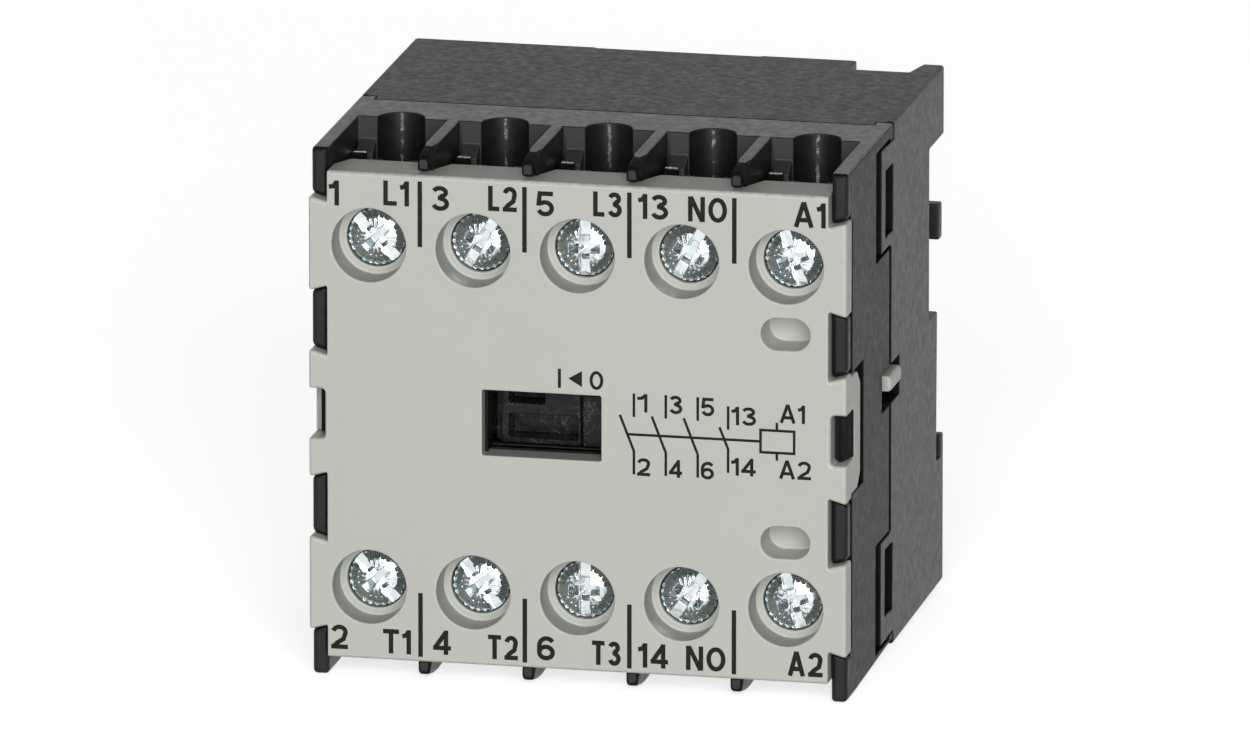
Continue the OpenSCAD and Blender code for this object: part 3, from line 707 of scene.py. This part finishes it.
def finish(made, looks, choose):
    """Gives every face of a piece one of several finishes. choose names a face's finish."""
    made.data.materials.clear()
    for look in looks:
        made.data.materials.append(LOOKS[look])
    for face in made.data.polygons:
        face.material_index = looks.index(choose(face))


def finish_mouldings():
    """The large plastic parts, with the panels of the rear face and the latch's grips."""
    finish(soften("front_cover", front_rounding, 3),
           ("cover_plastic", "cover_painted_shade", "cover_reveal_painted_shade"), cover_finish)
    finish(soften("contact_housing", housing_rounding, 4),
           ("fine_plastic", "pocket_painted_shade", "smooth_top_painted_light", "guide_painted_light", "tab_painted_shade",
            "nose_painted_edge_shade", "recess_painted_shade"), housing_finish)
    sunk = (REAR_DEPTH - 0.15, REAR_DEPTH + 0.6)
    panels = [((-9.5, 9.5), sunk, (5, 13)), ((-17, -13), sunk, (-14, -6)),
              ((13, 17), sunk, (-14, -6))]
    finish(soften("rear_base", base_rounding, cuts=panels),
           ("housing_plastic", "recess_painted_shade"), base_finish)
    made = soften("contact_carrier", 0.1)
    made.data.materials[0] = black_with_painted_highlights("moulded_black_painted_highlights", (0.006, 0.006, 0.0065),
                                    (0.11, 0.11, 0.115), 0.22)
    soften("interlock_slider", slider_rounding, 4)
    grips = [((-4.4, 4.4), (43.6, 45), (z, z + 0.35)) for z in (-21.4, -20.6, -19.8)]
    screwdriver_slot = ((-2.2, 2.2), (41, 42.3), (-23, -20.4))
    soften("din_latch", 0.12, cuts=grips + [screwdriver_slot])
    soften("coil_bobbin", 0.1)


def finish_terminals():
    """The pressed parts of the terminals and the contacts."""
    for key in KEYS:
        soften("clamp_plate_" + key, 0.1)
    for name in frame["nodes"]:
        if name.startswith(("fixed_contact", "coil_terminal", "contact_bridge")):
            made = soften(name, 0.06)
            if not name.startswith("contact_bridge"):
                made.data.materials[0] = LOOKS["tinned_brass"]


finish_mouldings()
finish_terminals()


def add_piece(name, blocks, slot, rounding, look):
    """A small moulded piece made of blocks, fixed to the housing."""
    work = bmesh.new()
    for corners in blocks:
        add_block(work, corners)
    made = make_object(name, finished(work, name), slot)
    round_edges(made, rounding)
    made.data.materials[0] = LOOKS[look]
    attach(made, "housing")


def make_retainers():
    """Small dark ribs in front of the upper ends of the terminal plates: painted shade that hides the
    plates' front faces.
    """
    blocks = []
    for key in KEYS:
        x, row = column(key)
        heights = sorted((row * 18.5, row * 19.68))
        blocks.append(block_corners((x - 3.6, x - 2.3), (9.5, 9.77), heights))
    add_piece("plate_retainers", blocks, "carrier_plastic", 0.05, "recess_painted_shade")


def make_snap_lips():
    """What the holes in the cover's tongues show, both as painted shade: a near-black wedge on the right,
    a darkened grey lip on the left.
    """
    low, high = -1.98, 1.98
    wedge_corners = [(21.5, 1.2, low), (21.5, 1.2, high), (21.5, 3.07, low), (21.5, 3.07, high),
                     (21.8, 1.2, low), (21.8, 1.2, high), (22.42, 3.07, low), (22.42, 3.07, high)]
    add_piece("snap_wedge_right", [wedge_corners], "carrier_plastic", 0.05, "recess_painted_shade")
    add_piece("snap_lip_left", [block_corners((-22.4, -21.4), (2.7, 3.07), (low, high))],
              "cover_plastic", 0.06, "cover_painted_shade")


def make_lining():
    """The black inner frame of the window, at its left and lower sides."""
    left = block_corners((-7.94, -7.72), (1.2, 3.15), (-2.74, 2.74))
    lower = block_corners((-7.7, 1.99), (2.2, 3.15), (-2.74, -2.58))
    for side, corners in (("left", left), ("lower", lower)):
        add_piece("window_lining_" + side, [corners], "carrier_plastic", 0.05, "carrier_plastic")


make_retainers()
make_snap_lips()
make_lining()


# ------------------------------------------------------------------ terminal screws
def dome(radius):
    """Depth of the domed head at a radius."""
    return HEAD_FACE + 0.95 * (1 - math.sqrt(1 - (radius / 2.6) ** 2))


def wedge(work, angle, inner, outer, width, sink):
    """A groove cutter along a radius, following the dome."""
    along = Vector((math.cos(angle), math.sin(angle)))
    across = Vector((-along.y, along.x)) * width / 2
    corners = []
    for reach in (inner, outer):
        spot = along * reach
        base = dome(min(reach, 2.42))
        for depth, half in ((base - 0.4, 1 + 0.3 / sink), (base + sink, 0.25)):
            for side in (-half, half):
                place = spot + across * side
                corners.append((place.x, depth, place.y))
    add_block(work, corners)


def recess_arm(work, turned):
    """One bar of the cross recess, narrowing with depth."""
    corners = []
    for sign in (-1, 1):
        for depth, reach, half in ((2, 1.62, 0.44), (4.1, 0.75, 0.3)):
            for side in (-half, half):
                spot = (sign * reach, side)
                corners.append((spot[1], depth, spot[0]) if turned else (spot[0], depth, spot[1]))
    add_block(work, corners)


def screw_head():
    """A domed head with a slot, a cross recess, and fine and coarse serrations."""
    work = bmesh.new()
    radii = [2.3 * i / 9 for i in range(10)]
    profile = [(r, dome(r)) for r in radii] + [(2.38, 3.24), (2.42, 3.4), (2.42, 4.75),
                                               (2.32, 4.9), (0, 4.9)]
    lathe(work, profile, 64)
    made = make_object("screw_pattern", finished(work, "screw_head"), "zinc_screw")
    carve(made, [((-3, 3), (2, 3.42), (-0.45, 0.45))])
    for turned in (False, True):
        work = bmesh.new()
        recess_arm(work, turned)
        cut_away(made, finished(work, "cutter"))
    work = bmesh.new()
    for quarter in range(4):
        middle = math.radians(45 + 90 * quarter)
        for step in (-0.3, 0, 0.3):
            wedge(work, middle + step, 0.95, 1.58, 0.15, 0.1)
        for step in (-0.5, -0.25, 0, 0.25, 0.5):
            wedge(work, middle + step, 1.72, 2.37, 0.34, 0.24)
    cut_away(made, finished(work, "cutter"))
    round_edges(made, 0.035, 2, 20)
    return made


def thread_radius(depth, angle):
    """A metric thread of half a millimetre pitch, tapered at its tip."""
    phase = (depth / 0.5 - angle / (2 * math.pi)) % 1
    ridge = 1 - abs(2 * phase - 1)
    depth_cut = 0.29 * min(1.0, max(0.0, 1.15 * (1 - ridge)))
    return 1.5 - depth_cut - 0.8 * max(0.0, depth - 12.4)


def screw_shank():
    """The threaded part below the head."""
    work = bmesh.new()
    segments, steps = 32, 96
    low, high = 4.8, 12.9
    rings = []
    for step in range(steps + 1):
        depth = low + (high - low) * step / steps
        ring = []
        for i in range(segments):
            angle = 2 * math.pi * i / segments
            radius = thread_radius(depth, angle)
            ring.append(work.verts.new(at(radius * math.cos(angle), depth,
                                          radius * math.sin(angle))))
        rings.append(ring)
    for near, far in zip(rings, rings[1:]):
        for i in range(segments):
            j = (i + 1) % segments
            work.faces.new((near[i], near[j], far[j], far[i]))
    work.faces.new(rings[0])
    work.faces.new(rings[-1])
    made = make_object("shank_pattern", finished(work, "screw_shank"), "zinc_screw")
    shade(made.data)
    return made


def joined(meshes, name):
    """One mesh out of several, with their normals and edge marks."""
    parts = []
    for mesh in meshes:
        part = bpy.data.objects.new(name, mesh)
        bpy.context.scene.collection.objects.link(part)
        parts.append(part)
    with bpy.context.temp_override(active_object=parts[0], selected_editable_objects=parts,
                                   object=parts[0], selected_objects=parts):
        bpy.ops.object.join()
    mesh = parts[0].data
    bpy.data.objects.remove(parts[0])
    return mesh


def make_screws():
    """One pattern of a screw, copied to each terminal and turned as in use."""
    head, shank = screw_head(), screw_shank()
    pattern = joined([head.data.copy(), shank.data.copy()], "terminal_screw")
    bpy.data.objects.remove(head)
    bpy.data.objects.remove(shank)
    for key, angle in zip(KEYS, HEAD_ANGLES):
        x, row = column(key)
        mesh = pattern.copy()
        mesh.transform(Matrix.Translation((x * MM, 0, row * SCREW_Z * MM))
                       @ Matrix.Rotation(math.radians(angle), 4, "Y"))
        node = "terminal_screw_" + key
        made = bpy.data.objects.new(node + "_detailed", mesh)
        bpy.context.scene.collection.objects.link(made)
        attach(made, body_of(node))
        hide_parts(node)


make_screws()


# ------------------------------------------------------------------ springs
def make_spring(node, start, end, radius, wire, turns):
    """A coil spring with closed ends, laid between two points."""
    along = (end - start).normalized()
    across = along.orthogonal().normalized()
    over = along.cross(across)
    length = (end - start).length
    steps = turns * 24
    path = []
    for i in range(steps + 1):
        done = i * turns / steps
        closed = 1.5 * wire * (min(done, 1) + max(0, done - (turns - 1)))
        open_part = min(max(done - 1, 0), turns - 2) / (turns - 2)
        travel = wire + closed + open_part * (length / MM - 5 * wire)
        angle = done * 2 * math.pi
        path.append(start + along * travel * MM
                    + (across * math.cos(angle) + over * math.sin(angle)) * radius * MM)
    work = bmesh.new()
    tube(work, path, wire * MM, 10, along)
    made = make_object(node + "_detailed", finished(work, node + "_detailed"), SLOT_OF[node])
    shade(made.data)
    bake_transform(made)
    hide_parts(node)


def make_springs():
    for row, node in ((1, "return_spring_upper"), (-1, "return_spring_lower")):
        make_spring(node, at(2.85, 21.4, row * 6.5), at(10.85, 21.4, row * 6.5), 1.3, 0.2, 7)
    for number, col in POLES.items():
        x = col * PITCH
        make_spring("contact_spring_%d" % number, at(x + 2.12, CONTACT_DEPTH, 0),
                    at(x + 5.38, CONTACT_DEPTH, 0), 1.1, 0.16, 4)
    make_spring("din_latch_spring", at(0, 37.9, -8.45), at(0, 37.9, -1.55), 1.0, 0.18, 8)


make_springs()


# ------------------------------------------------------------------ magnet
MAGNET_DEPTHS = (23.5, 31.5)
SHEETS = 16


def slab(node, near, far):
    """The part of a node between two depths, as a closed bmesh."""
    work = bmesh.new()
    work.from_mesh(clean_copy(node))
    for depth, side in ((near, -1), (far, 1)):
        everything = list(work.verts) + list(work.edges) + list(work.faces)
        cut = bmesh.ops.bisect_plane(work, geom=everything, plane_co=at(0, depth, 0),
                                     plane_no=(0, side, 0), clear_outer=True, dist=1e-9)
        rim = [part for part in cut["geom_cut"] if isinstance(part, bmesh.types.BMEdge)]
        bmesh.ops.triangle_fill(work, edges=rim, use_beauty=True)
    return work


def laminate(node):
    """A node rebuilt as a stack of punched sheets."""
    near, far = MAGNET_DEPTHS
    step = (far - near) / SHEETS
    meshes = []
    for i in range(SHEETS):
        low = near + i * step + (0.02 if i else 0.0)
        high = near + (i + 1) * step - (0.02 if i < SHEETS - 1 else 0.0)
        work = slab(node, low + 1e-4, high - 1e-4)
        bmesh.ops.dissolve_limit(work, angle_limit=math.radians(1), verts=work.verts,
                                 edges=work.edges, use_dissolve_boundaries=False)
        meshes.append(finished(work, "sheet"))
    made = make_object(node + "_detailed", joined(meshes, node + "_detailed"), SLOT_OF[node])
    round_edges(made, 0.06, 2)
    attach(made, body_of(node))
    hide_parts(node)


def rounded_outline(half_y, half_z, radius, count):
    """Points round a rounded rectangle in Y and Z, in millimetres."""
    points = []
    for quarter, (sy, sz) in enumerate(((1, 1), (-1, 1), (-1, -1), (1, -1))):
        for i in range(count + 1):
            angle = math.pi / 2 * (quarter + i / count)
            points.append((sy * (half_y - radius) + radius * math.cos(angle),
                           sz * (half_z - radius) + radius * math.sin(angle)))
    return points


def make_winding():
    """The coil: side by side turns of enamelled wire on the bobbin."""
    low, high, turns, samples = -13.28, 1.78, 36, 6
    work = bmesh.new()
    rings = []
    for i in range(turns * samples + 1):
        x = low + (high - low) * i / (turns * samples)
        rise = abs(math.sin(math.pi * i / samples))
        outline = rounded_outline(7.05 + 0.2 * rise, 8.75 + 0.2 * rise, 2.0, 5)
        rings.append([work.verts.new(at(x, 27.5 + y, z)) for y, z in outline])
    inner = []
    for x in (low, high):
        inner.append([work.verts.new(at(x, 27.5 + y, z))
                      for y, z in rounded_outline(4.95, 4.55, 0.4, 5)])
    loops = [inner[0]] + rings + [inner[1], inner[0]]
    count = len(inner[0])
    for near, far in zip(loops, loops[1:]):
        for i in range(count):
            j = (i + 1) % count
            work.faces.new((near[i], near[j], far[j], far[i]))
    made = make_object("coil_winding_detailed", finished(work, "coil_winding"), "copper_wire")
    shade(made.data)
    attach(made, "housing")
    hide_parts("coil_winding")


laminate("magnet_core")
laminate("armature")
make_winding()
soften("shading_rings", 0.12)
soften("armature_pin", 0.2)
soften("core_pad", 0.2)


def make_tips():
    """Silver contact buttons on the bridges and on the fixed contacts."""
    profile = [(0, 0), (0.8, 0.02), (1.1, 0.12), (1.22, 0.3), (1.22, 0.6), (0, 0.6)]
    for number, col in POLES.items():
        for row in (1, -1):
            for kind, x, turn, body in (("bridge", 0.69, 1, "bridge_%d" % number),
                                        ("fixed", -1.915, -1, "housing")):
                work = bmesh.new()
                lathe(work, profile, 32)
                name = "%s_tip_%d_%s" % (kind, number, "upper" if row > 0 else "lower")
                mesh = finished(work, name)
                place = at(col * PITCH + x, CONTACT_DEPTH, row * CONTACT_Z)
                mesh.transform(Matrix.Translation(place)
                               @ Matrix.Rotation(math.radians(-90 * turn), 4, "Z")
                               @ Matrix.Translation((0, -FRONT_Y * MM, 0)))
                made = make_object(name, mesh, "contact_copper")
                made.data.materials[0] = LOOKS["silver_tip"]
                shade(made.data)
                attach(made, body)


# ------------------------------------------------------------------ printed marks
def arc(centre, half, start, stop, count=9):
    """Points along an ellipse, from one angle in degrees to another."""
    angles = [math.radians(start + (stop - start) * i / count) for i in range(count + 1)]
    return [(centre[0] + half[0] * math.cos(a), centre[1] + half[1] * math.sin(a)) for a in angles]


def strokes_of(char, w, h, s):
    """The pen strokes of a plain sans-serif character w wide and h high."""
    left, right, low, high = s / 2, w - s / 2, s / 2, h - s / 2
    mid, half = w / 2, (w - s) / 2
    if char in "0O":
        ring = arc((mid, h / 2), (half, (h - s) / 2), 0, 360, 28)
        return [ring[:-1] + ring[:1]]
    if char in "1I":
        stem = [[(right, 0), (right, h)]]
        return stem + ([[(0, 0.74 * h), (0.45 * w, 0.77 * h), (right, 0.95 * h)]]
                       if char == "1" else [])
    if char == "2":
        top = arc((mid, 0.7 * h), (half, high - 0.7 * h), 170, -20, 12)
        return [top + [(0.74 * w, 0.42 * h), (0.36 * w, 0.25 * h), (left, low)],
                [(0, low), (w, low)]]
    if char == "3":
        upper = arc((0.48 * w, 0.745 * h), (0.9 * half, high - 0.745 * h), 165, -90, 12)
        lower = arc((mid, 0.29 * h), (half, 0.29 * h - low), 90, -165, 12)
        return [upper, lower, [(0.36 * w, 0.52 * h), (0.56 * w, 0.52 * h)]]
    if char == "4":
        return [[(0.72 * w, 0), (0.72 * w, h)], [(0, 0.27 * h), (w, 0.27 * h)],
                [(0.04 * w + left / 2, 0.27 * h), (0.7 * w, h - left)]]
    if char == "5":
        bowl = arc((mid, 0.33 * h), (half, 0.33 * h - low), 135, -160, 14)
        return [[(0.94 * w, high), (0.2 * w, high)], [(0.22 * w, h), (0.13 * w, 0.42 * h)], bowl]
    if char == "6":
        bowl = arc((mid, 0.325 * h), (half, 0.325 * h - low), 0, 360, 24)
        back = arc((0.53 * w, 0.6 * h), (0.53 * w - left, high - 0.6 * h), 35, 180, 10)
        return [bowl[:-1] + bowl[:1], back + [(left, 0.33 * h)]]
    if char == "L":
        return [[(left, 0), (left, h)], [(0, low), (w, low)]]
    if char == "T":
        return [[(mid, 0), (mid, h)], [(0, high), (w, high)]]
    if char == "N":
        return [[(left, 0), (left, h)], [(right, 0), (right, h)],
                [(left * 1.2, h - 0.1 * s), (right - left * 0.2, 0.1 * s)]]
    return [[(left * 0.9, 0), (mid, h)], [(w - left * 0.9, 0), (mid, h)],
            [(0.2 * w, 0.29 * h), (0.8 * w, 0.29 * h)]]


WIDTHS = {"1": 0.36, "I": 0.16, "L": 0.54, "T": 0.66, "N": 0.72, "O": 0.8, "A": 0.8}
PRINT_TOP = -0.012              # depths of the ink's face and of its foot in the cover
PRINT_FOOT = 0.02


def draw_stroke(work, points, width, layer):
    """A flat ribbon along a polyline in X and Z, closed when its ends meet.

    The layer lifts crossing strokes a hair apart, so that their faces never coincide."""
    closed = points[0] == points[-1]
    spots = [Vector(p) for p in (points[:-1] if closed else points)]
    count = len(spots)
    rings = []
    for i, spot in enumerate(spots):
        before = spots[i - 1] if i or closed else None
        after = spots[(i + 1) % count] if i < count - 1 or closed else None
        sides = []
        for a, b in ((before, spot), (spot, after)):
            if a is not None and b is not None:
                run = (b - a).normalized()
                sides.append(Vector((-run.y, run.x)))
        out = sum(sides, Vector((0, 0)))
        out = out / (1 + sides[0].dot(sides[1])) if len(sides) == 2 else out
        edge = [spot + out * width / 2, spot - out * width / 2]
        lift = PRINT_TOP - 0.0004 * layer
        rings.append([work.verts.new(at(p.x, depth, p.y))
                      for p, depth in ((edge[0], lift), (edge[1], lift),
                                       (edge[1], PRINT_FOOT), (edge[0], PRINT_FOOT))])
    links = list(zip(rings, rings[1:])) + ([(rings[-1], rings[0])] if closed else [])
    for near, far in links:
        for i in range(4):
            j = (i + 1) % 4
            work.faces.new((near[i], near[j], far[j], far[i]))
    if not closed:
        work.faces.new(rings[0])
        work.faces.new(rings[-1])


def draw_text(work, text, left, right, low, height, pen):
    """Characters side by side that fill the given width."""
    gap = 0.13 * height
    widths = [WIDTHS.get(char, 0.68) * height for char in text]
    stretch = (right - left - gap * (len(text) - 1)) / sum(widths)
    x = left
    for char, width in zip(text, widths):
        for layer, points in enumerate(strokes_of(char, width * stretch, height, pen)):
            draw_stroke(work, [(x + p[0], low + p[1]) for p in points], pen, layer)
        x += width * stretch + gap


UPPER_MARKS = [("1", -20.7, -19.85), ("L1", -16.15, -14.0), ("3", -12.15, -10.65),
               ("L2", -7.4, -5.0), ("5", -3.4, -1.9), ("L3", 1.35, 3.75), ("13", 5.1, 7.6),
               ("NO", 9.25, 12.5), ("A1", 18.05, 20.7)]
LOWER_MARKS = [("2", -20.6, -19.2), ("T1", -16.25, -13.9), ("4", -12.05, -10.55),
               ("T2", -7.45, -4.95), ("6", -3.35, -1.85), ("T3", 1.25, 3.65), ("14", 5.1, 7.6),
               ("NO", 9.1, 12.4), ("A2", 17.6, 20.5)]


def draw_terminal_marks(work):
    for text, left, right in UPPER_MARKS:
        low = 17.62 if text in "1 3 5" else 17.85
        draw_text(work, text, left, right, low, 2.1, 0.38)
    for text, left, right in LOWER_MARKS:
        low = -19.76 if text in "2 4 6" else -19.9
        draw_text(work, text, left, right, low, 2.05, 0.38)
    for x in (-13.1, -4.37, 4.37, 13.1):
        draw_stroke(work, [(x, 14.5), (x, 20.0)], 0.38, 0)
        draw_stroke(work, [(x, -14.65), (x, -20.05)], 0.38, 0)


def draw_indicator(work):
    """The on and off marks above the window, with an arrowhead between them."""
    draw_stroke(work, [(-1.46, 3.28), (-1.46, 4.9)], 0.26, 0)
    draw_text(work, "0", 1.05, 2.2, 3.28, 1.58, 0.26)
    corners = [(-0.72, 4.12), (0.42, 3.45), (0.42, 4.8)]
    top = [work.verts.new(at(x, PRINT_TOP, z)) for x, z in corners]
    foot = [work.verts.new(at(x, PRINT_FOOT, z)) for x, z in corners]
    work.faces.new(top)
    work.faces.new(foot)
    for i in range(3):
        j = (i + 1) % 3
        work.faces.new((top[i], top[j], foot[j], foot[i]))


def draw_diagram(work):
    """The contact diagram: four make contacts linked to the coil."""
    fine, line = 0.27, 0.22
    poles = [(4.75, 3.15, -3.65, "1", "2", 0), (7.41, 3.15, -3.65, "3", "4", 0),
             (10.07, 3.12, -3.63, "5", "6", 0), (12.6, 2.5, -3.1, "13", "14", 0.6)]
    for x, top, foot, upper, lower, lift in poles:
        draw_stroke(work, [(x, top - 1.97), (x, top)], line, 0)
        draw_stroke(work, [(x - 1.17 + 0.45 * (lift > 0), 1.3 - lift), (x, -1.7 + lift),
                           (x, foot)], line, 0)
        wide = 1.1 if len(upper) == 1 else 2.05
        first = 0.85 if upper == "1" else wide
        draw_text(work, upper, x + 0.28, x + 0.28 + first, top - 1.55, 1.55, fine)
        draw_text(work, lower, x + 0.26, x + 0.26 + wide, -3.75 + 0.45 * (lift > 0), 1.5, fine)
    draw_stroke(work, [(4.27, -0.3), (15.3, -0.3)], line, 1)
    draw_stroke(work, [(15.3, -1.2), (18.1, -1.2), (18.1, 0.66), (15.3, 0.66), (15.3, -1.2)],
                line, 0)
    draw_stroke(work, [(16.66, 0.66), (16.66, 1.33)], line, 1)
    draw_stroke(work, [(16.66, -1.2), (16.66, -1.85)], line, 1)
    draw_text(work, "A1", 16.9, 19.0, 1.35, 1.55, fine)
    draw_text(work, "A2", 16.85, 19.5, -3.35, 1.55, fine)


def make_marks():
    """All the printing on the cover, as one thin piece."""
    work = bmesh.new()
    draw_terminal_marks(work)
    draw_indicator(work)
    draw_diagram(work)
    made = make_object("printed_marks", finished(work, "printed_marks"), "carrier_plastic")
    made.data.materials[0] = INK
    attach(made, "housing")


def dress_frame():
    """Gives the CAD nodes that are still seen their materials."""
    for name, made in frame["nodes"].items():
        if not made.hide_render:
            made.data.materials.clear()
            made.data.materials.append(LOOKS[SLOT_OF[name]])


make_tips()
make_marks()
dress_frame()


# ------------------------------------------------------------------ camera and light
def aim(thing, place, target):
    """Puts a camera or a lamp at a place and turns it towards a target."""
    thing.location = place
    thing.rotation_euler = (target - place).to_track_quat("-Z", "Y").to_euler()


def make_camera():
    """The viewpoint of a long lens, right of the front and above it."""
    azimuth, elevation = math.radians(12.284), math.radians(14.329)
    back = Vector((math.sin(azimuth) * math.cos(elevation),
                   -math.cos(azimuth) * math.cos(elevation), math.sin(elevation)))
    right = Vector((math.cos(azimuth), math.sin(azimuth), 0))
    up = back.cross(right)
    target = at(0, 20, 0) - right * 0.341 * MM - up * 0.325 * MM
    data = bpy.data.cameras.new("camera")
    data.sensor_width = 36
    data.lens = 876.5
    data.clip_start = 0.1
    data.clip_end = 20
    made = bpy.data.objects.new("camera", data)
    bpy.context.scene.collection.objects.link(made)
    aim(made, target + back * 2.5, target)
    bpy.context.scene.camera = made


def softbox(name, place, target, size, power):
    """A white rectangular lamp at a place, turned towards a target. Metres and watts."""
    data = bpy.data.lights.new(name, "AREA")
    data.shape = "RECTANGLE"
    data.size, data.size_y = size
    data.energy = power
    made = bpy.data.objects.new(name, data)
    bpy.context.scene.collection.objects.link(made)
    aim(made, Vector(place), Vector(target))


def make_floor(height):
    mesh = bpy.data.meshes.new("floor")
    half = 3.0
    mesh.from_pydata([(-half, -half, height), (half, -half, height), (half, half, height),
                      (-half, half, height)], [], [(0, 1, 2, 3)])
    made = bpy.data.objects.new("floor", mesh)
    bpy.context.scene.collection.objects.link(made)
    n = Nodes("studio_floor")
    n.colour(n.blend(n.noise(3, 2), (0.88, 0.88, 0.88), (0.91, 0.91, 0.91)))
    n.roughness(n.remap(n.noise(6, 2), 0, 1, 0.75, 0.85))
    n.set(Specular_IOR_Level=0.1, Emission_Color=(1, 1, 1, 1), Emission_Strength=0.7)
    mesh.materials.append(n.material)
    made.visible_diffuse = False    # a white sweep that does not light the object from below


def make_world():
    world = bpy.data.worlds.new("studio")
    world.use_nodes = True
    world.node_tree.nodes["Background"].inputs["Color"].default_value = (1, 1, 1, 1)
    world.node_tree.nodes["Background"].inputs["Strength"].default_value = 0.13
    bpy.context.scene.world = world


make_camera()
make_world()
make_floor(cad_box[0][2] - 0.00005)
softbox("key", (0.24, -1.0, 0.25), (0, -0.03, 0), (0.7, 0.7), 10.4)
softbox("back", (-0.1, 1.3, 0.36), (0, 0, 0.02), (1.6, 0.5), 2.3)
softbox("left", (-0.75, -0.6, 0.1), (0, -0.03, 0), (0.12, 0.7), 0.6)
softbox("rear", (0, 1.2, -0.06), (0, 0, -0.01), (0.9, 0.3), 1.6)
bpy.context.scene.view_settings.view_transform = "Standard"
